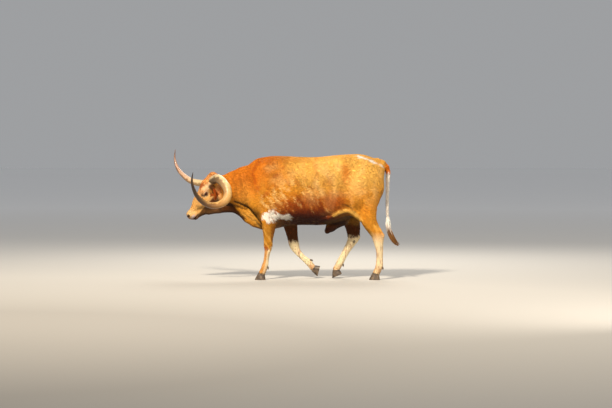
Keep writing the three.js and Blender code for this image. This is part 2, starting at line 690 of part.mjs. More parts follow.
// Simplifies a closed mesh by merging, time after time, the two neighbours whose merging bends its surface
// least. A vertex on a flat cut only moves onto a neighbour on the same cut, so that the cut stays flat.
function simplify(mesh, faceCount, cuts) {
  const p = mesh.points;
  const count = p.length / 3;
  const faces = [];
  const around = Array.from({ length: count }, () => new Set());
  for (let i = 0; i < mesh.triangles.length; i += 3) {
    const face = mesh.triangles.slice(i, i + 3);
    face.forEach((v) => around[v].add(faces.length));
    faces.push(face);
  }
  const point = (v) => [p[3 * v], p[3 * v + 1], p[3 * v + 2]];
  const onCuts = Array.from({ length: count }, (_, v) => {
    const [x, y, z] = point(v);
    return cuts.reduce(
      (mask, { normal, offset }, i) =>
        Math.abs(normal.x * x + normal.y * y + normal.z * z - offset) < 0.02 ? mask | (1 << i) : mask,
      0,
    );
  });
  const normalOf = (a, b, c) => {
    const [ax, ay, az] = a;
    const e = [b[0] - ax, b[1] - ay, b[2] - az];
    const f = [c[0] - ax, c[1] - ay, c[2] - az];
    return [e[1] * f[2] - e[2] * f[1], e[2] * f[0] - e[0] * f[2], e[0] * f[1] - e[1] * f[0]];
  };
  const quadrics = Array.from({ length: count }, () => new Float64Array(10));
  for (const face of faces) {
    const [a, b, c] = face.map(point);
    const n = normalOf(a, b, c);
    const area = Math.hypot(...n);
    if (area < 1e-9) continue;
    const [nx, ny, nz] = n.map((v) => v / area);
    const d = -(nx * a[0] + ny * a[1] + nz * a[2]);
    const q = [nx * nx, nx * ny, nx * nz, nx * d, ny * ny, ny * nz, ny * d, nz * nz, nz * d, d * d];
    for (const v of face) for (let i = 0; i < 10; i += 1) quadrics[v][i] += (q[i] * area) / 6;
  }
  const errorAt = (q, [x, y, z]) =>
    q[0] * x * x + 2 * q[1] * x * y + 2 * q[2] * x * z + 2 * q[3] * x +
    q[4] * y * y + 2 * q[5] * y * z + 2 * q[6] * y +
    q[7] * z * z + 2 * q[8] * z + q[9];
  const shortEdge = 1e-4;
  const costOf = (from, to) => {
    if ((onCuts[from] & onCuts[to]) !== onCuts[from]) return Infinity;
    const target = point(to);
    const length = Math.hypot(...point(from).map((v, i) => v - target[i]));
    return errorAt(quadrics[from], target) + errorAt(quadrics[to], target) + shortEdge * length ** 3;
  };
  const stamp = new Int32Array(count);
  const heap = [];
  const swap = (i, j) => ([heap[i], heap[j]] = [heap[j], heap[i]]);
  const pushHeap = (item) => {
    heap.push(item);
    let i = heap.length - 1;
    while (i > 0 && heap[(i - 1) >> 1].cost > heap[i].cost) {
      swap(i, (i - 1) >> 1);
      i = (i - 1) >> 1;
    }
  };
  const popHeap = () => {
    const top = heap[0];
    const last = heap.pop();
    if (heap.length) {
      heap[0] = last;
      let i = 0;
      for (;;) {
        const left = 2 * i + 1;
        let least = i;
        if (left < heap.length && heap[left].cost < heap[least].cost) least = left;
        if (left + 1 < heap.length && heap[left + 1].cost < heap[least].cost) least = left + 1;
        if (least === i) break;
        swap(i, least);
        i = least;
      }
    }
    return top;
  };
  const neighbours = (v) => {
    const found = new Set();
    for (const f of around[v]) for (const o of faces[f]) if (o !== v) found.add(o);
    return found;
  };
  const offer = (v) => {
    let best = null;
    for (const o of neighbours(v)) {
      const cost = costOf(v, o);
      if (cost < (best?.cost ?? Infinity)) best = { cost, from: v, to: o, stamp: stamp[v] };
    }
    if (best) pushHeap(best);
  };
  const sound = (from, to) => {
    const mine = neighbours(from);
    const theirs = neighbours(to);
    let shared = 0;
    for (const o of mine) if (theirs.has(o)) shared += 1;
    if (shared !== 2) return false;
    const target = point(to);
    for (const f of around[from]) {
      const face = faces[f];
      if (face.includes(to)) continue;
      const before = normalOf(...face.map(point));
      const after = normalOf(...face.map((v) => (v === from ? target : point(v))));
      const dot = before[0] * after[0] + before[1] * after[1] + before[2] * after[2];
      const size = Math.hypot(...after);
      if (size < 0.5 || dot < 0.3 * Math.hypot(...before) * size) return false;
    }
    return true;
  };
  for (let v = 0; v < count; v += 1) offer(v);
  let left = faces.length;
  const blocked = new Map();
  while (left > faceCount && heap.length) {
    const { from, to, stamp: made } = popHeap();
    if (made !== stamp[from] || !around[from].size || !around[to].size) continue;
    if (!faces[[...around[from]][0]]) continue;
    if (!neighbours(from).has(to)) continue;
    if (!sound(from, to)) {
      const tried = blocked.get(from) ?? new Set();
      tried.add(to);
      blocked.set(from, tried);
      let best = null;
      for (const o of neighbours(from)) {
        if (tried.has(o)) continue;
        const cost = costOf(from, o);
        if (cost < (best?.cost ?? Infinity)) best = { cost, from, to: o, stamp: stamp[from] };
      }
      if (best) pushHeap(best);
      continue;
    }
    const touched = neighbours(from);
    for (const f of [...around[from]]) {
      const face = faces[f];
      if (face.includes(to)) {
        face.forEach((v) => around[v].delete(f));
        faces[f] = null;
        left -= 1;
      } else {
        face[face.indexOf(from)] = to;
        around[to].add(f);
      }
    }
    around[from].clear();
    for (let i = 0; i < 10; i += 1) quadrics[to][i] += quadrics[from][i];
    for (const v of touched) {
      stamp[v] += 1;
      blocked.delete(v);
      offer(v);
    }
  }
  const renumber = new Map();
  const points = [];
  const triangles = [];
  for (const face of faces) {
    if (!face) continue;
    for (const v of face) {
      if (!renumber.has(v)) {
        renumber.set(v, renumber.size);
        points.push(...point(v));
      }
      triangles.push(renumber.get(v));
    }
  }
  return { points, triangles };
}

// Solids

function solidOf(geometry) {
  const bare = geometry.clone();
  bare.deleteAttribute("normal");
  bare.deleteAttribute("uv");
  const merged = mergeVertices(bare.index ? bare.toNonIndexed() : bare, 1e-3);
  const triangles = Array.from(merged.index.array);
  const kept = [];
  for (let i = 0; i < triangles.length; i += 3) {
    const [a, b, c] = triangles.slice(i, i + 3);
    if (a !== b && b !== c && a !== c) kept.push(a, b, c);
  }
  return solidFrom({ points: merged.attributes.position.array, triangles: kept });
}

// A node keeps only its largest closed surface.
function largest(solid) {
  const bodies = solid.decompose();
  return bodies.reduce((best, body) => (body.volume() > best.volume() ? body : best));
}

function boxSolid(low, high) {
  const size = high.map((h, i) => h - low[i]);
  const box = new THREE.BoxGeometry(...size);
  box.translate(...low.map((l, i) => l + size[i] / 2));
  return solidOf(box);
}

// A plane is a normal and an offset. What lies on the side that the normal points to is kept.
const planeThrough = (normal, point) => {
  const unit = normal.clone().normalize();
  return { normal: unit, offset: unit.dot(point) };
};
const beyond = ({ normal, offset }, distance) => ({ normal, offset: offset + distance });
const flipped = ({ normal, offset }) => ({ normal: normal.clone().negate(), offset: -offset });

const HALF_SPACE = 4000;
function keptSide({ normal, offset }) {
  const box = new THREE.BoxGeometry(HALF_SPACE, HALF_SPACE, HALF_SPACE);
  box.translate(0, 0, HALF_SPACE / 2);
  box.applyQuaternion(new THREE.Quaternion().setFromUnitVectors(vec(0, 0, 1), normal));
  box.translate(...normal.clone().multiplyScalar(offset).toArray());
  return solidOf(box);
}

// A surface that follows a curve, closed at both ends: a cylinder whose rings are set along it.
// The radius function gives the section's two half sizes at a share of the length. The first direction
// that the section keeps to is turned along the curve without twist.
function bent(curve, radiusAt, rings, sides, up) {
  const cylinder = new THREE.CylinderGeometry(1, 1, 1, sides, rings);
  const position = cylinder.attributes.position;
  const tangents = Array.from({ length: rings + 1 }, (_, i) => curve.getTangentAt(i / rings));
  const first = new THREE.Vector3().crossVectors(up, tangents[0]).normalize();
  const acrosses = [first];
  for (let i = 1; i <= rings; i += 1) {
    const turn = new THREE.Quaternion().setFromUnitVectors(tangents[i - 1], tangents[i]);
    acrosses.push(acrosses[i - 1].clone().applyQuaternion(turn).normalize());
  }
  for (let i = 0; i < position.count; i += 1) {
    const ring = Math.round((position.getY(i) + 0.5) * rings);
    const centre = curve.getPointAt(ring / rings);
    const across = acrosses[ring];
    const over = new THREE.Vector3().crossVectors(tangents[ring], across);
    const [wide, thick] = radiusAt(ring / rings);
    centre.addScaledVector(across, position.getX(i) * wide);
    centre.addScaledVector(over, -position.getZ(i) * thick);
    position.setXYZ(i, centre.x, centre.y, centre.z);
  }
  return cylinder;
}

function ensureOutward(solid, geometry) {
  if (solid.volume() > 0) return solid;
  const index = geometry.index.array;
  for (let i = 0; i < index.length; i += 3)
    [index[i + 1], index[i + 2]] = [index[i + 2], index[i + 1]];
  return solidOf(geometry);
}

function bentSolid(curve, radiusAt, rings, sides, up) {
  const geometry = bent(curve, radiusAt, rings, sides, up);
  return ensureOutward(solidOf(geometry), geometry);
}

const smoothstep = (t) => t * t * (3 - 2 * t);
const mix = (a, b, t) => a + (b - a) * t;

// Horns: thick at the poll, long and turned, with a point.
function hornSolid(rows, extra) {
  const line = rows.map(([x, y, z]) => vec(x, y, z));
  line[0].addScaledVector(line[0].clone().sub(line[1]).normalize(), 2 * extra);
  const curve = new THREE.CatmullRomCurve3(line, false, "centripetal");
  const radii = rows.map((row) => row[3]);
  const lengths = rows.map((_, i) => i / (rows.length - 1));
  const shares = lengths.map((share) => {
    const whole = curve.getLengths(400);
    return whole[Math.round(share * 400)] / whole[400];
  });
  const radiusAt = (t) => {
    let i = 0;
    while (i < shares.length - 2 && shares[i + 1] < t) i += 1;
    const local = Math.min(Math.max((t - shares[i]) / (shares[i + 1] - shares[i]), 0), 1);
    const r = mix(radii[i], radii[i + 1], local) + extra;
    return [r, r];
  };
  return bentSolid(curve, radiusAt, HORN_RINGS, HORN_SIDES, vec(0.2, 0.3, 1).normalize());
}

// Feet: two claws side by side, standing on flat soles. A foot's frame has its origin at the coronet's
// middle. A lifted foot is the same foot turned about its coronet.
const CLAW = {
  slit: 7,
  height: 72,
  toe: 84,
  heel: 46,
  topFront: 38,
  topBack: 39,
  topWidth: 43,
  soleWidth: 53,
};
const CORONET_SLOPE = 18;

function footFrame({ side, chain, foot }) {
  const across = chain.at(-1)[1] * side;
  return new THREE.Matrix4()
    .makeTranslation(foot.at[0], across, foot.at[1])
    .multiply(new THREE.Matrix4().makeRotationY(-foot.pitch * degrees));
}

function coronetPlane(leg) {
  const frame = footFrame(leg);
  const normal = vec(Math.sin(CORONET_SLOPE * degrees), 0, Math.cos(CORONET_SLOPE * degrees));
  const point = vec(0, 0, 0).applyMatrix4(frame);
  return planeThrough(normal.transformDirection(frame), point);
}

function clawSolid(leg, outward) {
  const geometry = new THREE.CylinderGeometry(1, 1, 1, 12, 3);
  const position = geometry.attributes.position;
  const slope = Math.tan(CORONET_SLOPE * degrees);
  for (let i = 0; i < position.count; i += 1) {
    const t = 0.5 - position.getY(i);
    const forward = position.getX(i);
    const sideways = position.getZ(i);
    const front = mix(CLAW.topFront, CLAW.toe, t);
    const back = mix(CLAW.topBack, CLAW.heel, t);
    const width = mix(CLAW.topWidth, CLAW.soleWidth, smoothstep(t));
    const f = forward * (forward > 0 ? front : back);
    const taper = 1 - 0.45 * Math.max(forward, 0) ** 2 * t;
    const l = CLAW.slit / 2 + (width / 2) * (1 + Math.sign(sideways) * Math.abs(sideways) ** 0.8) * taper;
    const top = slope * f - GAP;
    const down = mix(top, -CLAW.height, t);
    position.setXYZ(i, -f, l * outward, down);
  }
  const made = ensureOutward(solidOf(geometry), geometry);
  const frame = footFrame(leg);
  const placed = made.transform(frame.elements);
  const floor = boxSolid([-3000, -1000, -500], [3000, 1000, 0]);
  return largest(placed.subtract(floor));
}

// A flat, tapered lock of hair along a path.
function lockSolid(points, width, thickness, up, rings = 4) {
  const curve = new THREE.CatmullRomCurve3(points, false, "centripetal");
  const radiusAt = (t) => {
    const full = Math.sin(Math.PI * Math.min(0.5, 0.28 + t * 0.5));
    const taper = Math.max(0.06, 1 - smoothstep(Math.max(0, (t - 0.35) / 0.65)));
    return [(width / 2) * full * taper, (thickness / 2) * full * taper];
  };
  return bentSolid(curve, radiusAt, rings, 4, up);
}

let seed = 7;
const random = () => {
  seed = (seed * 16807) % 2147483647;
  return seed / 2147483647;
};
const vary = (amount) => (random() - 0.5) * 2 * amount;

// The tail's switch hangs along this line, swung back at its end.
const SWITCH_LINE = [
  [1212, 0, 790],
  [1213, 0, 742],
  [1219, 0, 672],
  [1230, 0, 584],
  [1264, 0, 502],
  [1308, 0, 436],
  [1356, 0, 394],
];
const SWITCH = { locks: 16, width: 33, thickness: 12, spread: 27, core: 22.5, tipCore: 3 };
const GOLDEN_TURN = 2.399;

function switchSolid(cut) {
  const points = SWITCH_LINE.map((p) => vec(...p));
  const line = new THREE.CatmullRomCurve3(points, false, "centripetal");
  const coreAt = (t) => {
    const r = mix(SWITCH.core, SWITCH.tipCore, smoothstep(t));
    return [r, r];
  };
  let solid = bentSolid(line, coreAt, 14, 10, vec(1, 0, 0.1).normalize());
  for (let i = 0; i < SWITCH.locks; i += 1) {
    const start = 0.08 + 0.5 * (i / SWITCH.locks);
    const end = Math.min(0.97, start + 0.4 + 0.12 * random());
    const turn = i * GOLDEN_TURN + vary(0.25);
    const spread = SWITCH.spread + vary(5);
    const path = [0, 0.25, 0.5, 0.75, 1].map((s) => {
      const t = mix(start, end, s);
      const centre = line.getPointAt(t);
      const tangent = line.getTangentAt(t);
      const across = vec(0, 1, 0);
      const over = new THREE.Vector3().crossVectors(tangent, across).normalize();
      const [core] = coreAt(t);
      const stand = core * 0.4 + spread * Math.sin(Math.PI * (0.18 + 0.62 * s));
      const reach = mix(core * 0.35, stand, Math.min(1, s * 1.7));
      centre.addScaledVector(across, Math.cos(turn) * reach);
      centre.addScaledVector(over, Math.sin(turn) * reach);
      return centre;
    });
    const up = vec(Math.sin(turn) * 0.8, Math.cos(turn), 0.35).normalize();
    solid = solid.add(lockSolid(path, SWITCH.width + vary(5), SWITCH.thickness, up));
  }
  return largest(solid.intersect(keptSide(cut)));
}

// Curls over the poll and forehead, in rows that overlap like shingles as they fall down the face.
const CURL = {
  firstRow: -26,
  pitch: 31,
  rows: 6,
  across: 31,
  length: 68,
  width: 41,
  thickness: 12,
  lift: 10,
};

// The height of the forehead's surface in the head's frame, found by halving.
function foreheadAt(u, w) {
  let [within, without] = [0, 150];
  for (let round = 0; round < 20; round += 1) {
    const v = (within + without) / 2;
    const { x, y, z } = fromHead([u, v, w]);
    if (flesh(x, y, z) < 0) within = v;
    else without = v;
  }
  return within;
}

function curlSolids() {
  const up = vec(0, 0, 1).transformDirection(headFrame);
  const made = [];
  for (let row = 0; row < CURL.rows; row += 1) {
    const count = row % 2 ? 4 : 3;
    for (let i = 0; i < count; i += 1) {
      const u = CURL.firstRow + row * CURL.pitch + vary(5);
      const w = (i - (count - 1) / 2) * CURL.across + vary(4);
      const sway = vary(16) + w * 0.12;
      const length = CURL.length + vary(9);
      const path = [0, 0.3, 0.62, 1].map((s, step) => {
        const [pu, pw] = [u + length * s, w + sway * s * s];
        const lift = [-8, 2, CURL.lift, CURL.lift * 0.5][step];
        return fromHead([pu, foreheadAt(pu, pw) + lift, pw]);
      });
      made.push(lockSolid(path, CURL.width + vary(5), CURL.thickness, up, 3));
    }
  }
  return made;
}

// The fringe of an ear: locks rooted in the cup's wall that lean out over its mouth.
const FRINGE = { pairs: 3, first: 68, pitch: 27, reach: 36, width: 20, thickness: 6 };

function fringeSolids({ side, root, along, across, out }) {
  const place = (a, b, c) => {
    const at = root.clone().addScaledVector(along, a);
    return at.addScaledVector(across, b).addScaledVector(out, c).applyMatrix4(headFrame);
  };
  const up = out.clone().transformDirection(headFrame);
  const made = [];
  for (let i = 0; i < FRINGE.pairs; i += 1)
    for (const edge of SIDES) {
      const a = FRINGE.first + i * FRINGE.pitch + vary(3) + (edge * side > 0 ? 8 : 0);
      const wall = earWallAt(a);
      const path = [
        place(a, edge * wall, 2),
        place(a + 0.25 * FRINGE.reach, edge * (wall - 4), 15),
        place(a + 0.6 * FRINGE.reach, edge * (wall - 17), 23),
        place(a + FRINGE.reach, edge * (wall - 30), 24 + vary(3)),
      ];
      made.push(lockSolid(path, FRINGE.width + vary(2), FRINGE.thickness, up, 3));
    }
  return made;
}

// Node borders
const NECK_HEAD = planeThrough(vec(-1, 0, -0.08), vec(-772, 0, 1040));
const NECK_TORSO = planeThrough(vec(-1, 0, 0.12), vec(-430, 0, 1050));
const TAIL_CUT = planeThrough(vec(1, 0, 0), vec(1178, 0, 1362));
const SWITCH_CUT = planeThrough(vec(0, 0, -1), vec(1212, 0, 770));
const halfGap = GAP / 2;

function earPlane(frame) {
  const along = frame.along.clone().transformDirection(headFrame);
  const point = frame.root.clone().addScaledVector(frame.along, EAR_CUT).applyMatrix4(headFrame);
  return planeThrough(along, point);
}

// Flesh nodes
// A node is cut a little clear of its borders, simplified, and trimmed again where that crossed a border.
const TRIM = 0.05;

function parted(solid, cuts, blocks, distance) {
  let kept = solid;
  for (const cut of cuts) kept = kept.intersect(keptSide(beyond(cut, distance)));
  for (const block of blocks) kept = kept.subtract(block(distance).solid);
  return largest(kept);
}

function fewFaces(solid, faces, cuts, blocks) {
  const flats = [
    ...cuts.map((cut) => beyond(cut, halfGap)),
    ...blocks.flatMap((block) => block(halfGap).planes),
  ];
  const whole = parted(solid, cuts, blocks, halfGap);
  return parted(solidFrom(simplify(meshFrom(whole), faces, flats)), cuts, blocks, TRIM);
}

const fleshIn = (low, high, cell) => solidFrom(settle(surfaceOf(flesh, low, high, cell), flesh, cell));

// The block that holds one leg below its cut.
function legBlock({ side, cutHeight, block }) {
  const [x0, x1, y0, y1] = block;
  const [ya, yb] = [y0 * side, y1 * side].sort((a, b) => a - b);
  return (grow) => {
    const low = [x0 - grow, ya - grow, -50];
    const high = [x1 + grow, yb + grow, cutHeight + grow];
    const planes = [
      { normal: vec(0, 0, 1), offset: high[2] },
      { normal: vec(0, 1, 0), offset: low[1] },
      { normal: vec(0, 1, 0), offset: high[1] },
      { normal: vec(1, 0, 0), offset: low[0] },
      { normal: vec(1, 0, 0), offset: high[0] },
    ];
    return { solid: boxSolid(low, high), planes };
  };
}

// The block that holds the tail.
function tailBlock(grow) {
  const { offset } = beyond(TAIL_CUT, -grow);
  const solid = boxSolid([offset, -60, 700], [1400, 60, 1450]);
  return { solid, planes: [{ normal: vec(1, 0, 0), offset }] };
}

const nodes = [];
const node = (name, solid, finish) => nodes.push({ name, solid: largest(solid), finish });

const FINISHES = {
  coat: { color: 0xc4762e, roughness: 0.82 },
  pale_coat: { color: 0xe6cda8, roughness: 0.85 },
  white_hair: { color: 0xeae2d6, roughness: 0.8 },
  horn: { color: 0xd9c096, roughness: 0.42 },
  hoof: { color: 0x4a3a2c, roughness: 0.55 },
  eye: { color: 0x1c0f0a, roughness: 0.12 },
};

const HEAD_BOX = { low: [-1215, -330, 660], high: [-690, 330, 1320] };
const earPlanes = ears.map(earPlane);
const hornRoots = Object.values(HORNS).map((rows) => hornSolid(rows, GAP));
const eyeCentres = SIDES.map((side) => fromHead([EYE.at[0], EYE.at[1], EYE.at[2] * side]));
const eyeBall = (centre, radius) => {
  const sphere = new THREE.SphereGeometry(radius, 12, 8);
  sphere.translate(...centre.toArray());
  return solidOf(sphere);
};

const HEAD_CELL = 6;
const headFlesh = fleshIn(HEAD_BOX.low, HEAD_BOX.high, HEAD_CELL);

// The oval space that holds an ear beyond its cut, and leaves the cheek beside it alone.
const EAR_SPACE = { middle: 104, size: [134, 61, 44] };

function earBlock(frame, plane) {
  const oval = new THREE.SphereGeometry(1, 24, 16);
  oval.scale(...EAR_SPACE.size);
  oval.translate(EAR_SPACE.middle, 0, 0);
  const basis = new THREE.Matrix4().makeBasis(frame.along, frame.across, frame.out);
  const geometry = oval.applyMatrix4(basis.setPosition(frame.root).premultiply(headFrame));
  const zone = ensureOutward(solidOf(geometry), geometry);
  return (grow) => {
    const border = beyond(plane, -grow);
    return { solid: zone.intersect(keptSide(border)), planes: [border] };
  };
}
const earBlocks = ears.map((frame, i) => earBlock(frame, earPlanes[i]));

const withLocks = (solid, locks) => locks.reduce((whole, lock) => whole.add(lock), solid);

function headNode() {
  let head = withLocks(fewFaces(headFlesh, 2900, [NECK_HEAD], earBlocks), curlSolids());
  hornRoots.forEach((root) => (head = head.subtract(root)));
  eyeCentres.forEach((centre) => (head = head.subtract(eyeBall(centre, EYE.radius + GAP))));
  return head;
}

function earNode(frame, i) {
  const whole = headFlesh.intersect(earBlocks[i](GAP).solid);
  return withLocks(fewFaces(whole, 300, [earPlanes[i]], []), fringeSolids(frame));
}

node("head", headNode(), "coat");
ears.forEach((frame, i) => node(frame.side < 0 ? "ear_right" : "ear_left", earNode(frame, i), "coat"));
eyeCentres.forEach((centre, i) =>
  node(SIDES[i] < 0 ? "eye_right" : "eye_left", eyeBall(centre, EYE.radius), "eye"),
);
for (const [name, rows] of Object.entries(HORNS)) node(name, hornSolid(rows, 0), "horn");
const neckFlesh = fleshIn([-830, -260, 500], [-330, 260, 1500], 13);
node("neck", fewFaces(neckFlesh, 760, [flipped(NECK_HEAD), NECK_TORSO], []), "coat");
const torsoFlesh = fleshIn([-500, -360, 480], [1240, 360, 1530], 19);
const torsoBlocks = [...Object.values(LEGS).map(legBlock), tailBlock];
node("torso", fewFaces(torsoFlesh, 2450, [flipped(NECK_TORSO)], torsoBlocks), "coat");
for (const [name, leg] of Object.entries(LEGS)) {
  const [x0, x1, y0, y1] = leg.block;
  const [ya, yb] = [y0 * leg.side, y1 * leg.side].sort((a, b) => a - b);
  const top = { normal: vec(0, 0, -1), offset: -leg.cutHeight };
  const legFlesh = fleshIn([x0 + 1, ya + 1, 10], [x1 - 1, yb - 1, leg.cutHeight + 16], 9);
  const ankle = beyond(coronetPlane(leg), -halfGap);
  node("leg_" + name, fewFaces(legFlesh, 600, [top, ankle], []), "pale_coat");
  for (const outward of SIDES)
    node(`claw_${name}_${outward * leg.side > 0 ? "outer" : "inner"}`, clawSolid(leg, outward), "hoof");
}
const tailFlesh = fleshIn([1150, -52, 740], [1270, 52, 1420], 8);
node("tail", fewFaces(tailFlesh, 300, [TAIL_CUT, flipped(SWITCH_CUT)], []), "white_hair");
node("tail_switch", switchSolid(beyond(SWITCH_CUT, halfGap)), "white_hair");

const longhorn = new THREE.Group();
for (const { name, solid, finish } of nodes) {
  const { points, triangles } = meshFrom(solid);
  const geometry = new THREE.BufferGeometry();
  geometry.setAttribute("position", new THREE.BufferAttribute(new Float32Array(points), 3));
  geometry.setIndex(triangles);
  geometry.computeVertexNormals();
  const material = new THREE.MeshStandardMaterial({ metalness: 0, ...FINISHES[finish] });
  const mesh = new THREE.Mesh(geometry, material);
  mesh.name = name;
  longhorn.add(mesh);
}

export default longhorn;
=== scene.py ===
"""A life-size Texas longhorn steer, walking with its head low, as a still museum model.

Shapes are worked out in millimetres and put into meshes in metres, with +Z up. The muzzle points
to -X, the tail to +X, and the animal's left side faces the camera, at -Y. The floor is z = 0.
"""

import math

import bpy
import numpy as np
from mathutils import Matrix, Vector


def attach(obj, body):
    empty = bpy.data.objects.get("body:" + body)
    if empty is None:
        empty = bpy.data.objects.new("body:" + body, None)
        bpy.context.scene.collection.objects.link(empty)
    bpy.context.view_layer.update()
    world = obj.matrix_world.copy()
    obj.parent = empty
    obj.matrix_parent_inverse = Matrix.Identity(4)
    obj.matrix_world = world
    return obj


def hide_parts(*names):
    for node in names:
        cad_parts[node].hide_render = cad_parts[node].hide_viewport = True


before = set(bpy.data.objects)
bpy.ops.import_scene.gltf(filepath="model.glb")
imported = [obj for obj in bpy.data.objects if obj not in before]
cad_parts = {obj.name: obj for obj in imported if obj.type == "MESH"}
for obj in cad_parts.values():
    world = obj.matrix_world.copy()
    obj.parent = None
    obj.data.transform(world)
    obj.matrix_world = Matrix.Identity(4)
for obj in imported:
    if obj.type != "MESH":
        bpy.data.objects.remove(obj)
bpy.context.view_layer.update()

# Floor, light and camera
# A plain pale floor, darker below the key light so that it looks even, with the key light high on the
# left, a weak fill and a rim light. The camera stands 28 m off, above the back, as for the photo.

LEFT, RIGHT = -1, 1
METRE = 1000.0
CAMERA_AT = Vector((0.2428, -28.0, 1.785))
CAMERA_LOOKS_AT = Vector((0.2428, 0.0, 0.8925))
CAMERA_LENS = 138.4
KEY_AT = (-3.2, -8.8, 8.6)
FLOOR_HALF, FLOOR_NEAR, FLOOR_FAR = 60.0, -30.0, 80.0
# The floor's tones, at shares of a distance from the point below the key light.
FLOOR_REACH = 38.0
FLOOR_TONES = [(0.0, "#7C7974"), (0.1, "#86837E"), (0.24, "#BDBAB4"), (0.45, "#D6D5D2"), (0.9, "#FCFCFC")]


def linear(code):
    """An sRGB hex code as linear red, green and blue: each channel is raised by the sRGB curve."""
    srgb = np.array([int(code[i : i + 2], 16) for i in (1, 3, 5)]) / 255.0
    return np.where(srgb <= 0.04045, srgb / 12.92, ((srgb + 0.055) / 1.055) ** 2.4)


def material(name, colour="#808080", roughness=0.6):
    """A new node material. Returns it with its node tree and its Principled BSDF."""
    made = bpy.data.materials.new(name)
    made.use_nodes = True
    tree = made.node_tree
    shader = tree.nodes["Principled BSDF"]
    shader.inputs["Base Color"].default_value = (*linear(colour), 1)
    shader.inputs["Roughness"].default_value = roughness
    return made, tree, shader


def node(tree, kind, inputs=None, **settings):
    """One shader node with its settings, and values or links put into its inputs."""
    made = tree.nodes.new(kind)
    for name, value in settings.items():
        setattr(made, name, value)
    for name, value in (inputs or {}).items():
        socket = made.inputs[name]
        if isinstance(value, bpy.types.NodeSocket):
            tree.links.new(value, socket)
        else:
            socket.default_value = value
    return made


def ramp(tree, factor, stops):
    """A colour ramp with stops given as pairs of place and hex code."""
    made = tree.nodes.new("ShaderNodeValToRGB")
    made.color_ramp.elements[0].position = stops[0][0]
    made.color_ramp.elements[1].position = stops[-1][0]
    for place, _ in stops[1:-1]:
        made.color_ramp.elements.new(place)
    for element, (place, code) in zip(made.color_ramp.elements, stops):
        element.color = (*linear(code), 1)
    tree.links.new(factor, made.inputs["Fac"])
    return made.outputs["Color"]


def spread(tree, value, low, high, start=0.0, end=1.0):
    """Turns a range of values, from low to high, into another, from start to end."""
    inputs = {"Value": value, "From Min": low, "From Max": high, "To Min": start, "To Max": end}
    return node(tree, "ShaderNodeMapRange", inputs).outputs[0]


floor_corners = [
    (-FLOOR_HALF, FLOOR_NEAR, 0),
    (FLOOR_HALF, FLOOR_NEAR, 0),
    (FLOOR_HALF, FLOOR_FAR, 0),
    (-FLOOR_HALF, FLOOR_FAR, 0),
]
floor_mesh = bpy.data.meshes.new("floor")
floor_mesh.from_pydata(floor_corners, [], [(0, 1, 2, 3)])
floor = bpy.data.objects.new("floor", floor_mesh)
bpy.context.collection.objects.link(floor)
floor_material, floor_tree, floor_shader = material("pale_floor", "#BDBAB4", 0.85)
floor_place = node(floor_tree, "ShaderNodeTexCoord").outputs["Object"]
below_key = {0: floor_place, 1: (KEY_AT[0], KEY_AT[1], 0)}
floor_off = node(floor_tree, "ShaderNodeVectorMath", below_key, operation="DISTANCE").outputs["Value"]
floor_tone = ramp(floor_tree, spread(floor_tree, floor_off, 0.0, FLOOR_REACH), FLOOR_TONES)
floor_tree.links.new(floor_tone, floor_shader.inputs["Base Color"])
floor_mesh.materials.append(floor_material)

world = bpy.data.worlds.new("studio")
bpy.context.scene.world = world
world.use_nodes = True
world.node_tree.nodes["Background"].inputs["Color"].default_value = (*linear("#E9EBEE"), 1)
world.node_tree.nodes["Background"].inputs["Strength"].default_value = 0.42
bpy.context.scene.view_settings.view_transform = "Standard"

# Square soft boxes: place, the point each looks at, size, power and colour.
for name, place, looks_at, size, power, code in (
    ("key", KEY_AT, (0.0, 0, 0.9), 1.5, 2380, "#FFF1DC"),
    ("fill", (4.2, -6.0, 2.4), (0.0, 0, 0.8), 3.4, 130, "#FFF4E6"),
    ("rim", (1.0, 4.6, 5.4), (0.1, 0, 1.0), 3.0, 260, "#FFF6E8"),
):
    lamp = bpy.data.lights.new(name, "AREA")
    lamp.size, lamp.energy, lamp.color = size, power, linear(code)
    holder = bpy.data.objects.new(name, lamp)
    holder.location = place
    holder.rotation_euler = (Vector(looks_at) - Vector(place)).to_track_quat("-Z", "Y").to_euler()
    bpy.context.collection.objects.link(holder)

camera = bpy.data.objects.new("camera", bpy.data.cameras.new("camera"))
camera.data.sensor_width = 36
camera.data.lens = CAMERA_LENS
camera.data.clip_end = 300
camera.location = CAMERA_AT
camera.rotation_euler = (CAMERA_LOOKS_AT - CAMERA_AT).to_track_quat("-Z", "Y").to_euler()
bpy.context.collection.objects.link(camera)
bpy.context.scene.camera = camera

# Body, as a solid of flesh
# The carcass under the hide: barrel, neck with its dewlap, sheath, legs and tail. Rounded limbs and
# muscles melt into one smooth field, whose value is the distance to its surface, less than 0 inside.

# Trunk sections: x, back line, belly line, half width, height of the widest place.
TRUNK = np.array([
    (-400, 1400, 700, 120, 1010),
    (-281, 1440, 604, 190, 970),
    (-167, 1464, 590, 232, 950),
    (24, 1462, 632, 282, 930),
    (213, 1453, 650, 318, 915),
    (400, 1454, 650, 330, 915),
    (600, 1474, 668, 312, 950),
    (760, 1485, 722, 282, 1010),
    (900, 1484, 800, 262, 1070),
    (1020, 1452, 900, 226, 1110),
    (1110, 1404, 1010, 168, 1140),
], dtype=float)
TRUNK_FRONT, TRUNK_REAR = -385, 1142
TRUNK_END_ROUNDING = 90
BACK_ROUNDNESS, BELLY_ROUNDNESS = 1.85, 2.25

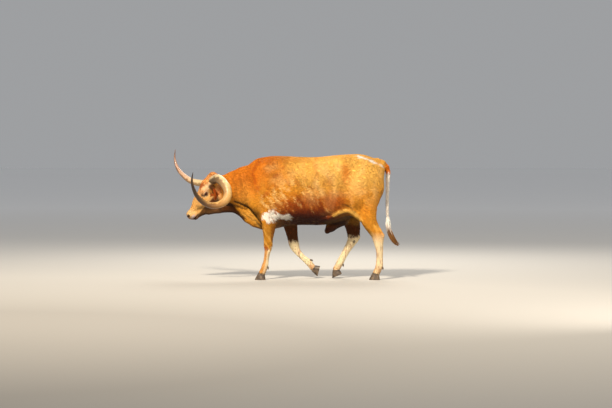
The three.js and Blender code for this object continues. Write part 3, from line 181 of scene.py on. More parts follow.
# A chain is a row of joints: x, distance from the middle plane, z, radius fore and aft, radius sideways.
NECK = [
    (-330, 0, 1090, 300, 168),
    (-450, 0, 1086, 262, 136),
    (-570, 0, 1074, 222, 114),
    (-700, 0, 1052, 192, 104),
    (-790, 0, 1058, 168, 100),
]
DEWLAP = [
    (-905, 0, 800, 34, 30),
    (-800, 0, 832, 52, 40),
    (-690, 0, 848, 54, 42),
    (-600, 0, 846, 60, 38),
    (-520, 0, 798, 58, 36),
    (-450, 0, 728, 60, 38),
    (-370, 0, 676, 58, 44),
    (-270, 0, 646, 62, 58),
]
# The web of skin between dewlap and breast.
BREAST = [(-510, 0, 862, 56, 38), (-430, 0, 800, 60, 44), (-330, 0, 730, 66, 62)]
SHEATH = [(690, 0, 700, 66, 60), (610, 0, 668, 62, 54), (535, 0, 616, 60, 46), (494, 0, 572, 34, 30)]
# The fold of skin from the belly over the flank to the stifle.
FLANK_FOLD = [
    (420, 240, 727, 9, 8),
    (500, 248, 741, 20, 16),
    (564, 252, 772, 26, 21),
    (631, 254, 808, 28, 23),
    (707, 244, 828, 30, 25),
    (780, 218, 808, 30, 26),
    (838, 212, 764, 28, 26),
    (884, 204, 712, 24, 24),
]
TAIL = [
    (1090, 0, 1392, 50, 46),
    (1150, 0, 1374, 42, 38),
    (1200, 0, 1330, 34, 32),
    (1220, 0, 1270, 29, 27),
    (1216, 0, 1180, 25, 23),
    (1212, 0, 1060, 22, 21),
    (1209, 0, 900, 20, 19),
    (1212, 0, 760, 19, 18),
]
# Each leg: its side, its chain of joints, the point of its hock if any, and its foot as x, height and
# pitch in degrees.
LEGS = {
    "fore_left": dict(
        side=LEFT,
        chain=[
            (-188, 178, 800, 104, 70),
            (-196, 186, 690, 88, 66),
            (-198, 186, 590, 72, 58),
            (-204, 182, 478, 53, 46),
            (-205, 178, 402, 51, 46),
            (-209, 175, 348, 37, 37),
            (-220, 172, 290, 31, 30),
            (-232, 168, 212, 30, 30),
            (-244, 166, 160, 37, 38),
            (-261, 166, 116, 33, 36),
            (-276, 166, 84, 40, 45),
        ],
        heel=[],
        foot=(-282, 72, 0),
    ),
    "fore_right": dict(
        side=RIGHT,
        chain=[
            (20, 174, 800, 108, 70),
            (45, 184, 690, 92, 66),
            (64, 187, 590, 76, 60),
            (84, 185, 478, 62, 50),
            (101, 183, 398, 58, 48),
            (124, 181, 340, 42, 39),
            (166, 180, 286, 34, 31),
            (224, 178, 230, 32, 31),
            (272, 176, 190, 39, 38),
            (300, 176, 154, 33, 36),
            (322, 176, 128, 39, 45),
        ],
        heel=[],
        foot=(331, 117, 76),
    ),
    "hind_left": dict(
        side=LEFT,
        chain=[
            (962, 160, 900, 128, 92),
            (972, 182, 780, 104, 80),
            (990, 186, 690, 86, 72),
            (1030, 184, 610, 70, 58),
            (1074, 178, 540, 62, 48),
            (1096, 174, 480, 60, 46),
            (1106, 170, 415, 50, 43),
            (1114, 167, 350, 41, 37),
            (1115, 165, 240, 38, 34),
            (1110, 163, 160, 43, 42),
            (1092, 163, 114, 36, 38),
            (1078, 163, 84, 44, 48),
        ],
        heel=[
            (1040, 180, 690, 34, 26),
            (1112, 176, 590, 22, 17),
            (1148, 172, 524, 25, 22),
            (1132, 172, 470, 30, 26),
        ],
        foot=(1072, 72, 0),
    ),
    "hind_right": dict(
        side=RIGHT,
        chain=[
            (850, 160, 900, 136, 92),
            (792, 184, 780, 118, 80),
            (786, 188, 690, 98, 74),
            (800, 186, 610, 82, 62),
            (808, 182, 540, 72, 52),
            (806, 176, 470, 62, 47),
            (778, 172, 412, 50, 43),
            (740, 170, 350, 43, 37),
            (682, 166, 246, 39, 34),
            (648, 164, 182, 43, 42),
            (624, 164, 138, 36, 38),
            (608, 164, 110, 43, 48),
        ],
        heel=[
            (850, 182, 690, 34, 26),
            (868, 178, 590, 22, 17),
            (866, 174, 486, 25, 22),
            (838, 174, 452, 30, 26),
        ],
        foot=(603, 99, 24),
    ),
}
# Muscles and bones that swell from both sides of the body: centre, half sizes, tilt in degrees, blend.
MUSCLES = [
    ((-215, 118, 1190), (120, 66, 180), 14, 110),
    ((-240, 150, 1000), (140, 80, 190), -8, 110),
    ((-130, 190, 862), (112, 58, 150), 20, 80),
    ((-330, 120, 905), (88, 80, 110), 20, 80),
    ((712, 168, 1366), (104, 58, 60), -10, 140),
    ((1105, 86, 1300), (62, 46, 62), 0, 90),
    ((925, 140, 1110), (222, 122, 300), 6, 110),
    ((800, 176, 960), (110, 78, 180), -10, 90),
]


def melt(a, b, blend):
    """The smaller of two distances, rounded off where they differ by less than the blend."""
    share = np.maximum(blend - np.abs(a - b), 0) / blend
    return np.minimum(a, b) - share * share * blend / 4


def carve(a, b, blend):
    """The larger of two distances, rounded off, so that the second form cuts into the first."""
    return -melt(-a, b, blend)


def steps_between(rows):
    """A table's columns at every millimetre of its first: cubic pieces with the rows' mean slopes."""
    at = rows[:, 0]
    ahead = np.minimum(np.arange(len(at)) + 1, len(at) - 1)
    behind = np.maximum(np.arange(len(at)) - 1, 0)
    slope = (rows[ahead, 1:] - rows[behind, 1:]) / (at[ahead] - at[behind])[:, None]
    x = np.arange(at[0], at[-1] + 1)
    i = np.clip(np.searchsorted(at, x, side="right") - 1, 0, len(at) - 2)
    step = (at[i + 1] - at[i])[:, None]
    t = ((x - at[i]) / step[:, 0])[:, None]
    rising = t * t * (3 - 2 * t)
    bend = step * (t * (1 - t) ** 2 * slope[i] - t * t * (1 - t) * slope[i + 1])
    return x, rows[i, 1:] * (1 - rising) + rows[i + 1, 1:] * rising + bend


TRUNK_X, TRUNK_VALUES = steps_between(TRUNK)


def trunk(p):
    """Distance to the barrel: a superellipse section at each x, with rounded ends."""
    top, bottom, wide, widest = (np.interp(p[:, 0], TRUNK_X, column) for column in TRUNK_VALUES.T)
    above = p[:, 2] > widest
    height = np.where(above, top - widest, widest - bottom)
    power = np.where(above, BACK_ROUNDNESS, BELLY_ROUNDNESS)
    up = p[:, 2] - widest
    share = ((np.abs(p[:, 1]) / wide) ** power + (np.abs(up) / height) ** power) ** (1 / power)
    section = np.hypot(p[:, 1], up) * (1 - 1 / np.maximum(share, 1e-3))
    section = carve(section, TRUNK_REAR - p[:, 0], TRUNK_END_ROUNDING)
    return carve(section, p[:, 0] - TRUNK_FRONT, TRUNK_END_ROUNDING)


def limb(start, end):
    """A tapered round or oval limb between two joints, with its reach and its distance function."""
    start, end = np.array(start, float), np.array(end, float)
    axis = end[:3] - start[:3]

    def distance(p):
        t = np.clip((p - start[:3]) @ axis / (axis @ axis), 0, 1)
        off = p - start[:3] - t[:, None] * axis
        fore, side = (start[k] + t * (end[k] - start[k]) for k in (3, 4))
        share = np.sqrt((off[:, 0] ** 2 + off[:, 2] ** 2) / fore**2 + off[:, 1] ** 2 / side**2)
        return np.linalg.norm(off, axis=1) * (1 - 1 / np.maximum(share, 1e-3))

    reach = np.linalg.norm(axis) / 2 + 1.6 * max(*start[3:], *end[3:]) + 40
    return (start[:3] + end[:3]) / 2, reach, distance


def ball(centre, size, tilt=0):
    """An ellipsoid tilted about the sideways axis, with its reach and its distance function."""
    centre, size = np.array(centre, float), np.array(size, float)
    c, s = math.cos(math.radians(tilt)), math.sin(math.radians(tilt))
    turn = np.array([(c, 0, s), (0, 1, 0), (-s, 0, c)])

    def distance(p):
        off = (p - centre) @ turn.T
        share = np.linalg.norm(off / size, axis=1)
        return np.linalg.norm(off, axis=1) * (1 - 1 / np.maximum(share, 1e-3))

    return centre, 1.6 * size.max() + 40, distance


def chain(joints, side, blend, steps=1, inner_blend=12):
    """Limbs down a row of joints, rounded off by a cubic line. The first melts into the body."""
    rows = np.array([(x, y * side, z, r, w) for x, y, z, r, w in joints], float)
    i = np.repeat(np.arange(len(rows) - 1), steps)
    t = np.tile(np.arange(steps) / steps, len(rows) - 1)[:, None]
    a, b, c, d = (rows[np.clip(i + k, 0, len(rows) - 1)] for k in (-1, 0, 1, 2))
    fine = 0.5 * (2 * b + (c - a) * t + (2 * a - 5 * b + 4 * c - d) * t**2 + (3 * b - a - 3 * c + d) * t**3)
    fine = np.vstack([fine, rows[-1]])
    return [(*limb(p, q), inner_blend if n else blend) for n, (p, q) in enumerate(zip(fine[:-1], fine[1:]))]


body_forms = chain(NECK, 1, 110) + chain(DEWLAP, 1, 46) + chain(BREAST, 1, 46, 1, 40)
body_forms += chain(SHEATH, 1, 50) + chain(TAIL, 1, 30)
for side in (LEFT, RIGHT):
    body_forms += chain(FLANK_FOLD, side, 28, 1, 28)
for (x, y, z), size, tilt, blend in MUSCLES:
    body_forms += [(*ball((x, y * side, z), size, tilt), blend) for side in (LEFT, RIGHT)]
for leg in LEGS.values():
    body_forms += chain(leg["chain"], leg["side"], 60, 2)
    if leg["heel"]:
        body_forms += chain(leg["heel"], leg["side"], 26)

# Head and ears, as part of the same flesh
# The skull with its boss, brows, cheeks and jaw, the muzzle with lips and nostrils, lids round the eyes,
# and two cupped ears. Sizes are in the head's own frame: u down the face, w to its left, v to the forehead.

POLL = np.array([-865, 0, 1225], float)
HEAD_PIVOT = np.array([-800, 0, 1080], float)
HEAD_PITCH, HEAD_YAW, HEAD_ROLL = (math.radians(a) for a in (58.5, 8, 8))
HEAD_FORMS = [
    ("ball", (88, -18, 0), (130, 78, 104), 60),
    ("ball", (10, 6, 0), (50, 44, 78), 45),
    ("pair", (25, -12, 62), (56, 52, 46), 30),
    ("limb", (150, 0, 0, 76, 88), (345, -18, 0, 62, 66), 60),
    ("limb", (345, -18, 0, 60, 66), (520, -26, 0, 50, 62), 60),
    ("pair", (198, 6, 78), (56, 44, 40), 40),
    ("pair", (300, -62, 48), (92, 40, 42), 45),
    ("pair", (245, -118, 52), (118, 92, 46), 45),
    ("limb", (230, -140, 0, 78, 56), (420, -104, 0, 52, 48), 50),
    ("limb", (420, -104, 0, 50, 48), (505, -86, 0, 36, 46), 40),
    ("ball", (532, -28, 0), (52, 54, 62), 40),
    ("pair", (540, -6, 42), (34, 32, 30), 26),
    ("pair", (505, -50, 30), (58, 34, 40), 30),
    ("ball", (524, -88, 0), (36, 25, 46), 16),
]
EYE_AT, EYE_RADIUS = (216, -24, 92), 22
HEAD_CUTS = [
    ("pair", (216, -24, 122), (25, 16, 22), 8),
    ("pair limb", (572, 0, 44, 12, 10), (552, 8, 62, 11, 9), 6),
    ("pair limb", (556, -6, 40, 10, 8), (535, 0, 36, 8, 8), 6),
    ("pair limb", (592, -66, 0, 4, 12), (566, -66, 46, 4.5, 9), 5),
    ("pair limb", (566, -66, 46, 4.5, 9), (468, -84, 66, 4.5, 10), 5),
]
LIDS = [
    ("pair limb", (194, -20, 110, 6, 7), (210, -6, 114, 8, 8), 7),
    ("pair limb", (210, -6, 114, 8, 8), (228, -7, 111, 8, 8), 7),
    ("pair limb", (228, -7, 111, 8, 8), (244, -24, 103, 6, 7), 7),
    ("pair limb", (194, -24, 110, 5, 6), (212, -41, 110, 6, 6), 7),
    ("pair limb", (212, -41, 110, 6, 6), (244, -27, 102, 5, 6), 7),
    ("pair limb", (190, 8, 106, 9, 9), (228, 8, 104, 9, 9), 16),
]
EAR_ROOT, EAR_TIP = (122, -72, 92), (196, -120, 262)
EAR_WIDTH, EAR_DEPTH, EAR_WALL = 50, 30, 9
EAR_OPENS = (0.62, 0.42, 0.3)
EAR_STALK = ((-30, 0, -4, 26, 26), (26, 0, -6, 22, 24))
CUP_BLEND, STALK_BLEND, EAR_BLEND, HEAD_BLEND = 6, 24, 22, 70

down_x, down_z = -math.cos(HEAD_PITCH), -math.sin(HEAD_PITCH)
c, s = math.cos(HEAD_YAW), math.sin(HEAD_YAW)
head_turn = np.array([(c, -s, 0), (s, c, 0), (0, 0, 1)])
c, s = math.cos(HEAD_ROLL), math.sin(HEAD_ROLL)
head_turn = head_turn @ np.array([(1, 0, 0), (0, c, -s), (0, s, c)])
HEAD_AXES = head_turn @ np.array([(down_x, 0, down_z), (0, -1, 0), (down_z, 0, -down_x)]).T
HEAD_ORIGIN = HEAD_PIVOT + head_turn @ (POLL - HEAD_PIVOT)


def into_head(p):
    """Points in the head's frame, as u, w and v."""
    return (p - HEAD_ORIGIN) @ HEAD_AXES


def out_of_head(p):
    """Points given as u, w and v, in the body's frame."""
    return np.asarray(p, float) @ HEAD_AXES.T + HEAD_ORIGIN


def head_forms(rows):
    """Balls and limbs from rows given as u, v and w, with pairs made on both sides."""
    made = []
    for kind, first, second, blend in rows:
        for side in (1, -1) if kind.startswith("pair") else (1,):
            u, v, w = first[:3]
            if kind in ("ball", "pair"):
                form = ball((u, w * side, v), (second[0], second[2], second[1]))
            else:
                tu, tv, tw = second[:3]
                form = limb((u, w * side, v, *first[3:]), (tu, tw * side, tv, *second[3:]))
            made.append((*form, blend))
    return made


head_solids, head_cuts, head_lids = (head_forms(rows) for rows in (HEAD_FORMS, HEAD_CUTS, LIDS))


def ear_frame(side):
    """An ear's root and its axes in the head's frame: along it, across it, and out of its cup."""
    root, tip, out = (np.array([u, w * side, v], float) for u, v, w in (EAR_ROOT, EAR_TIP, EAR_OPENS))
    length = np.linalg.norm(tip - root)
    along = (tip - root) / length
    out -= along * (out @ along)
    out /= np.linalg.norm(out)
    return root, np.array([along, np.cross(out, along), out]), length


EARS = {"left": ear_frame(1), "right": ear_frame(-1)}


def ear(p, root, axes, length):
    """Distance to an ear: a leaf with a cup carved in it, on a round stalk."""
    q = (p - root) @ axes.T
    half = length / 2
    leaf = ball((half, 0, 0), (half, EAR_WIDTH, EAR_DEPTH))[2](q)
    inner = (half - EAR_WALL, EAR_WIDTH - EAR_WALL, EAR_DEPTH)
    cup = ball((half + EAR_WALL, 0, EAR_WALL * 1.3), inner)[2](q)
    return melt(carve(leaf, cup, CUP_BLEND), limb(*EAR_STALK)[2](q), STALK_BLEND)


def melt_near(forms, d, p, join=melt):
    """Melts each form into the distances, or carves it out, only at the points that it can reach."""
    for centre, reach, distance, blend in forms:
        close = np.flatnonzero(((p - centre) ** 2).sum(1) < (reach + blend) ** 2)
        if len(close):
            d[close] = join(d[close], distance(p[close]), blend)
    return d


# Forms are left out of the field past these distances, and FAR stands for more than any of them.
HEAD_MIDDLE, HEAD_REACH = out_of_head((260, 0, -60)), 560
TRUNK_REACH, EAR_REACH, FAR = 220, 420, 1e3


def flesh(p):
    """Distance from points to the whole animal's flesh, in millimetres."""
    d = np.where(p[:, 0] > TRUNK_FRONT - TRUNK_REACH, trunk(p), FAR)
    d = melt_near(body_forms, d, p)
    close = np.flatnonzero(((p - HEAD_MIDDLE) ** 2).sum(1) < HEAD_REACH**2)
    if len(close):
        q = into_head(p[close])
        head = melt_near(head_solids, np.full(len(q), FAR), q)
        near = melt(d[close], head, HEAD_BLEND)
        for root, axes, length in EARS.values():
            by_ear = np.flatnonzero(((q - root) ** 2).sum(1) < EAR_REACH**2)
            near[by_ear] = melt(near[by_ear], ear(q[by_ear], root, axes, length), EAR_BLEND)
        near = melt_near(head_lids, near, q)
        d[close] = melt_near(head_cuts, near, q, carve)
    return d


def slope_of(field, p, step=1.5):
    """The field's slope at each point, from differences either way along each axis."""
    return np.stack(
        [(field(p + step * axis) - field(p - step * axis)) / (2 * step) for axis in np.eye(3)], axis=1
    )


# Hide
# One skin over the whole animal, a coat's depth inside its outline, drawn in at its folds. It is meshed
# finely on the head and more coarsely behind it, and the two nets are sewn together round the neck.

COAT_DEPTH = 4.0
SEAM_X = -764.0
HEAD_CELL, BODY_CELL = 4.1, 12.0
BLOCK = 4
HEAD_BOX = ((-1215.0, -330, 655), (SEAM_X - 4, 330, 1330))
BODY_BOX = ((SEAM_X, -372, 20), (1290, 372, 1530))
# Creases of the hide, as lines in the side view, with the depth and half width of each.
CREASES = [
    ([(-612, 925), (-530, 893), (-432, 845), (-369, 766), (-281, 662)], 13, 13),
    ([(-322, 1392), (-380, 1290), (-392, 1140), (-352, 1020)], 7, 26),
    ([(-70, 1300), (-46, 1160), (-80, 1000), (-110, 880)], 6, 34),
    ([(640, 1335), (676, 1240), (690, 1110)], 10, 44),
    ([(962, 1260), (988, 1080), (990, 930), (950, 800)], 6, 24),
    ([(1062, 1200), (1088, 1010), (1076, 860)], 5, 20),
    ([(-700, 1180), (-662, 1080), (-655, 970)], 4, 14),
    ([(-640, 1210), (-596, 1090), (-590, 950)], 4, 16),
    ([(-560, 1240), (-520, 1120), (-520, 990)], 3, 16),
    ([(650, 890), (706, 886), (760, 850), (806, 790)], 5, 12),
    ([(600, 850), (650, 868), (704, 868)], 4, 10),
    ([(-140, 690), (-84, 740), (-60, 810)], 5, 14),
    ([(-520, 800), (-450, 745), (-380, 690)], 4, 9),
]
# A shallow groove between each rib and the next.
for x in range(170, 630, 76):
    CREASES.append(([(x, 1230), (x - 24, 1090), (x + 6, 930)], 2.6, 17))


def off_line(flat, line):
    """The distance from points in the side view to a line through a few points."""
    off = np.full(len(flat), 1e9)
    for a, b in zip(line[:-1], line[1:]):
        t = np.clip((flat - a) @ (b - a) / ((b - a) @ (b - a)), 0, 1)
        off = np.minimum(off, np.linalg.norm(flat - a - t[:, None] * (b - a), axis=1))
    return off


def creased(p, widest=100):
    """How far creases draw the hide in: each a groove whose section is a bell curve across its line."""
    depth = np.zeros(len(p))
    beside, flat = np.abs(p[:, 1]) > 34, p[:, [0, 2]]
    for line, deep, half in CREASES:
        line = np.array(line, float)
        low, high = line.min(0) - 3 * half, line.max(0) + 3 * half
        close = np.flatnonzero(beside & np.all((flat > low) & (flat < high), axis=1))
        if len(close) and half <= widest:
            depth[close] += deep * np.exp(-((off_line(flat[close], line) / half) ** 2))
    return depth


def skin_field(p):
    """Distance to the hide, which lies inside the flesh's outline by the coat's depth."""
    return flesh(p) + COAT_DEPTH + creased(p)


def grid_values(field, low, high, cell):
    """The field on a grid. Blocks of cells far from the surface take the value at their middle."""
    counts = [int(math.ceil((h - l) / cell / BLOCK)) for l, h in zip(low, high)]
    starts = [np.arange(n) * BLOCK for n in counts]
    corner = np.stack(np.meshgrid(*starts, indexing="ij"), -1).reshape(-1, 3)
    low = np.array(low, float)
    sample = field(low + (corner + BLOCK / 2 - 0.5) * cell)
    full = np.repeat(sample, BLOCK**3).reshape(*counts, BLOCK, BLOCK, BLOCK)
    by_block = full.reshape(-1, BLOCK**3)
    # Near means within three times the distance from a block's middle to its corner.
    near = np.flatnonzero(np.abs(sample) < 3 * math.sqrt(3) * cell * BLOCK / 2)
    inner = np.stack(np.meshgrid(*[np.arange(BLOCK)] * 3, indexing="ij"), -1).reshape(-1, 3)
    for part in np.array_split(near, max(1, len(near) // 2500)):
        points = (corner[part][:, None] + inner[None]).reshape(-1, 3) * cell + low
        by_block[part] = field(points).reshape(-1, BLOCK**3)
    shape = [n * BLOCK for n in counts]
    return full.transpose(0, 3, 1, 4, 2, 5).reshape(shape)


def surface_net(values, low, cell):
    """A net of quads: a corner in each cell that the surface crosses, a quad round each crossed edge."""
    inside = values < 0
    n = np.array(values.shape)
    offsets = np.array([(i, j, k) for i in (0, 1) for j in (0, 1) for k in (0, 1)])
    corner = [inside[i : n[0] - 1 + i, j : n[1] - 1 + j, k : n[2] - 1 + k] for i, j, k in offsets]
    held = sum(c.astype(np.int8) for c in corner)
    cells = np.argwhere((held > 0) & (held < 8))
    number = np.full(n - 1, -1, dtype=np.int64)
    number[tuple(cells.T)] = np.arange(len(cells))
    at_corner = np.stack([values[tuple((cells + o).T)] for o in offsets], 1)
    total, crossed = np.zeros((len(cells), 3)), np.zeros(len(cells))
    for a in range(8):
        for b in range(a + 1, 8):
            if np.abs(offsets[a] - offsets[b]).sum() != 1:
                continue
            cut = (at_corner[:, a] < 0) != (at_corner[:, b] < 0)
            gap = np.where(cut, at_corner[:, a] - at_corner[:, b], 1.0)
            t = np.where(cut, at_corner[:, a] / gap, 0.0)[:, None]
            total += cut[:, None] * (offsets[a] + t * (offsets[b] - offsets[a]))
            crossed += cut
    points = (cells + total / crossed[:, None]) * cell + np.array(low, float)
    quads = []
    for axis in range(3):
        b, c = (axis + 1) % 3, (axis + 2) % 3
        step = np.eye(3, dtype=int)
        here = inside[tuple(slice(0, n[k] - (k == axis)) for k in range(3))]
        there = inside[tuple(slice(int(k == axis), n[k]) for k in range(3))]
        edge = np.argwhere(here != there)
        edge = edge[np.all((edge >= (step[b] + step[c])) & (edge < n - 1), axis=1)]
        ring = [edge, edge - step[b], edge - step[b] - step[c], edge - step[c]]
        quad = np.stack([number[tuple(r.T)] for r in ring], 1)
        outward = here[tuple(edge.T)]
        quads.append(np.where(outward[:, None], quad, quad[:, ::-1]))
    return points, np.vstack(quads)


def settle(points, field, limit, rounds=3):
    """Moves points down the field's slope until they lie on its surface."""
    for _ in range(rounds):
        d, slope = field(points), slope_of(field, points)
        size = np.maximum((slope**2).sum(1), 0.04)
        move = np.clip(d / np.sqrt(size), -limit, limit) / np.sqrt(size)
        points = points - slope * move[:, None]
    return points


def open_ring(points, quads):
    """The corners on a net's open edge, in order of their angle round the neck's axis."""
    edges = np.concatenate([quads[:, [i, (i + 1) % 4]] for i in range(4)])
    key = np.sort(edges, 1) @ np.array([len(points), 1])
    _, index, count = np.unique(key, return_index=True, return_counts=True)
    rim = np.unique(edges[index[count == 1]])
    middle = points[rim].mean(0)
    angle = np.arctan2(points[rim, 2] - middle[2], points[rim, 1])
    order = np.argsort(angle)
    return rim[order], angle[order]


def sew(ring_a, angle_a, ring_b, angle_b):
    """Triangles between two rings: each step along one ring joins the last corner passed on the other."""
    next_a, next_b = np.roll(ring_a, -1), np.roll(ring_b, -1)
    ahead_a, ahead_b = np.roll(angle_a, -1), np.roll(angle_b, -1)
    ahead_a[-1] += 2 * np.pi
    ahead_b[-1] += 2 * np.pi
    from_a = ring_b[(np.searchsorted(angle_b, ahead_a, side="left") - 1) % len(ring_b)]
    from_a[-1] = ring_b[-1] if angle_b[0] + 2 * np.pi >= ahead_a[-1] else ring_b[0]
    from_b = ring_a[(np.searchsorted(angle_a, ahead_b, side="right") - 1) % len(ring_a)]
    from_b[-1] = ring_a[0] if angle_a[0] + 2 * np.pi <= ahead_b[-1] else ring_a[-1]
    return np.vstack([np.stack([ring_a, next_a, from_a], 1), np.stack([next_b, ring_b, from_b], 1)])


def triangles_of(quads):
    """Each quad as two triangles."""
    return np.vstack([quads[:, [0, 1, 2]], quads[:, [0, 2, 3]]])


# The head's grid is moved along so that its last cells end at the seam.
head_low, head_high = (np.array(corner, float) for corner in HEAD_BOX)
head_span = np.ceil((head_high[0] - head_low[0]) / HEAD_CELL / BLOCK) * HEAD_CELL * BLOCK
head_low[0] = head_high[0] - head_span + HEAD_CELL
head_high[0] += HEAD_CELL
head_values = grid_values(skin_field, head_low, head_high, HEAD_CELL)
head_points, head_quads = surface_net(head_values, head_low, HEAD_CELL)
body_points, body_quads = surface_net(grid_values(skin_field, *BODY_BOX, BODY_CELL), BODY_BOX[0], BODY_CELL)
ring_head, angle_head = open_ring(head_points, head_quads)
ring_body, angle_body = open_ring(body_points, body_quads)
seam = sew(ring_head, angle_head, ring_body + len(head_points), angle_body)
head_points = settle(head_points, skin_field, HEAD_CELL / 2)
body_points = settle(body_points, skin_field, BODY_CELL / 2)
hide_points = np.vstack([head_points, body_points])
hide_triangles = np.vstack([triangles_of(head_quads), triangles_of(body_quads) + len(head_points), seam])
hide_slopes = slope_of(skin_field, hide_points)
hide_normals = hide_slopes / np.maximum(np.linalg.norm(hide_slopes, axis=1, keepdims=True), 1e-6)

# Colour of the coat
# Golden orange over most of the body, deeper on neck and withers and mahogany low on the ribs, with a white
# patch at the elbow, cream lower legs, a pale muzzle and eye ring, and a white tail with a brown switch.
# Painted highlight lies along the back, the flank fold and the brisket, and painted shade under the body, in
# creases and hollows, on the throat, under the jaw and on the far legs.

ORANGE, DEEP, PALE = linear("#E09628"), linear("#CF7010"), linear("#F7C05C")
MAHOGANY, CREAM, WHITE = linear("#6A2403"), linear("#F2DDB4"), linear("#F6EEE2")
FACE, RUST, PINK, DARK = linear("#E7AE70"), linear("#B04E0A"), linear("#D99A78"), linear("#1A0E08")
SWITCH_BROWN, SHADE_TAN, STRAW = linear("#7A5228"), linear("#5E4216"), linear("#F8CB80")
LIP_GREY = linear("#C4B2B4")
# Soft ovals of tone seen from the side: tone, strength, centre, half sizes, edge, tilt in degrees.
BROAD_TONES = [
    # The first two pale ovals, over the back and the rump, are painted highlight where light falls on the top
    # of the body.
    (PALE, 0.85, (800, 1290), (470, 230), 0.6, 0),
    (PALE, 0.75, (300, 1290), (400, 170), 0.7, 0),
    (PALE, 0.35, (-500, 1070), (120, 150), 0.6, 0),
    (DEEP, 0.75, (-420, 1330), (330, 160), 0.6, 20),
    (DEEP, 0.6, (-395, 1200), (60, 190), 0.8, 4),
    (DEEP, 0.6, (-580, 1130), (190, 190), 0.7, 0),
    (DEEP, 0.5, (-190, 1230), (230, 140), 0.7, 0),
    (RUST, 0.4, (-150, 1440), (260, 60), 0.8, 0),
]
SMALL_TONES = [
    (STRAW, 0.3, (-190, 1330), (70, 40), 0.9, 30),
    (STRAW, 0.3, (-130, 1190), (60, 44), 0.9, 30),
    (STRAW, 0.3, (-60, 1140), (70, 30), 0.9, 30),
    (STRAW, 0.3, (60, 1250), (60, 44), 0.9, 30),
    (RUST, 0.6, (-126, 1237), (34, 20), 0.7, 30),
    (RUST, 0.6, (-340, 1094), (30, 26), 0.7, 30),
    (RUST, 0.6, (-43, 1333), (34, 22), 0.7, 30),
    (RUST, 0.6, (-250, 1010), (50, 30), 0.7, 30),
    (RUST, 0.45, (338, 1300), (20, 120), 0.9, 0),
    # Painted shade in the hollow in front of the hip.
    (RUST, 0.45, (700, 1280), (40, 110), 0.9, 0),
    (RUST, 0.45, (590, 965), (110, 90), 0.9, 0),
    (RUST, 0.45, (500, 1180), (30, 60), 0.9, 0),
    (STRAW, 0.35, (540, 1210), (40, 80), 0.8, 0),
    (STRAW, 0.35, (330, 1090), (50, 70), 0.8, 0),
    (STRAW, 0.35, (820, 1110), (90, 120), 0.8, 0),
    (STRAW, 0.35, (610, 1350), (60, 40), 0.8, 0),
]
# Ovals broken up by the streaks: tone, strength, centre, half sizes, edge, share laid, growth with a streak.
RIB_TONES = [
    (RUST, 0.9, (250, 840), (400, 170), 0.45, 0.9, 0.45),
    (MAHOGANY, 0.9, (220, 810), (390, 150), 0.5, 0.6, 0.8),
    (MAHOGANY, 1.0, (230, 748), (370, 90), 0.5, 1.1, 0.5),
    # The lowest, darkest row is mahogany coat deepened with painted shade along the bottom of the barrel.
    (MAHOGANY * 0.45, 0.8, (190, 700), (330, 74), 0.6, 0.9, 0.5),
]
WISP_TONES = [
    (STRAW, 0.65, (40, 1020), (330, 150), 0.5, -0.75, -3.2),
    (STRAW, 0.7, (-210, 950), (110, 130), 0.5, 0.2, -2.0),
    (STRAW, 0.6, (250, 840), (400, 170), 0.45, -1.3, -3.2),
    (DEEP, 0.4, (830, 900), (260, 240), 0.6, 0.4, 0.7),
]
BLADE_LINE = np.array([(-330.0, 1400), (-372, 1330), (-386, 1240), (-372, 1150)])
THROAT_SHADOW_LINE = np.array([(-730.0, 850.0), (-670, 862), (-590, 800), (-490, 728)])
FOLD_LINE = np.array(FLANK_FOLD, float)[2:, [0, 2]]
# The white patch at the elbow and the strips along the rump: centre, half sizes, edge, tilt.
ELBOW_WHITE = [
    ((-186, 756), (98, 56), 0.1, -4),
    ((-170, 800), (40, 32), 0.2, 0),
    ((-40, 752), (92, 34), 0.2, -14),
]
RUMP_WHITE = [
    ((885, 1448), (64, 13), 0.5, -13),
    ((1012, 1406), (70, 14), 0.5, -23),
    ((1130, 1354), (30, 12), 0.5, -35),
]


def smooth(t):
    """Rises from 0 to 1 as t does, with level ends."""
    t = np.clip(t, 0, 1)
    return t * t * (3 - 2 * t)


def grain(p, size, seed=0):
    """Smooth noise from -1 to 1: random values at the corners of cells, eased between them."""
    q = p / np.asarray(size, float) + seed * 17.3
    base = np.floor(q).astype(np.int64)
    f = smooth(q - base)
    total = np.zeros(len(p))
    for i in (0, 1):
        for j in (0, 1):
            for k in (0, 1):
                c = base + (i, j, k)
                h = (c[:, 0] * 73856093) ^ (c[:, 1] * 19349663) ^ (c[:, 2] * 83492791) ^ (seed * 2654435761)
                h = (h ^ (h >> 13)) * 1274126177 & 0x7FFFFFFF
                weight = np.ones(len(p))
                for axis, bit in enumerate((i, j, k)):
                    weight *= f[:, axis] if bit else 1 - f[:, axis]
                total += weight * (h / 0x7FFFFFFF * 2 - 1)
    return total


def patch(p, centre, size, edge=0.25, tilt=0):
    """A soft-edged oval mask seen from the side, 1 in its middle. The tilt turns it, in degrees."""
    c, s = math.cos(math.radians(tilt)), math.sin(math.radians(tilt))
    x, z = p[:, 0] - centre[0], p[:, 2] - centre[1]
    share = np.hypot((x * c + z * s) / size[0], (z * c - x * s) / size[1])
    return smooth((1 + edge - share) / (2 * edge))


def lay(colour, over, mask):
    """A colour laid over others by a mask."""
    return colour + (over - colour) * np.clip(mask, 0, 1)[:, None]


def swirls(p):
    """Streaks that run down and back with the coat, bent by broad noise into loose swirls, from -1 to 1."""
    bend = np.stack([grain(p, 95, 13), np.zeros(len(p)), grain(p, 95, 14)], 1) * 30
    q = p + bend
    across, along = q[:, 0] * 0.82 + q[:, 2] * 0.57, q[:, 2] * 0.82 - q[:, 0] * 0.57
    slant = np.stack([across, q[:, 1], along], 1)
    medium, fine = grain(slant, (22, 50, 104), 10), grain(slant, (11, 24, 60), 12)
    return np.clip(0.25 * grain(slant, (44, 70, 140), 9) + 0.6 * medium + 0.45 * fine, -1, 1)


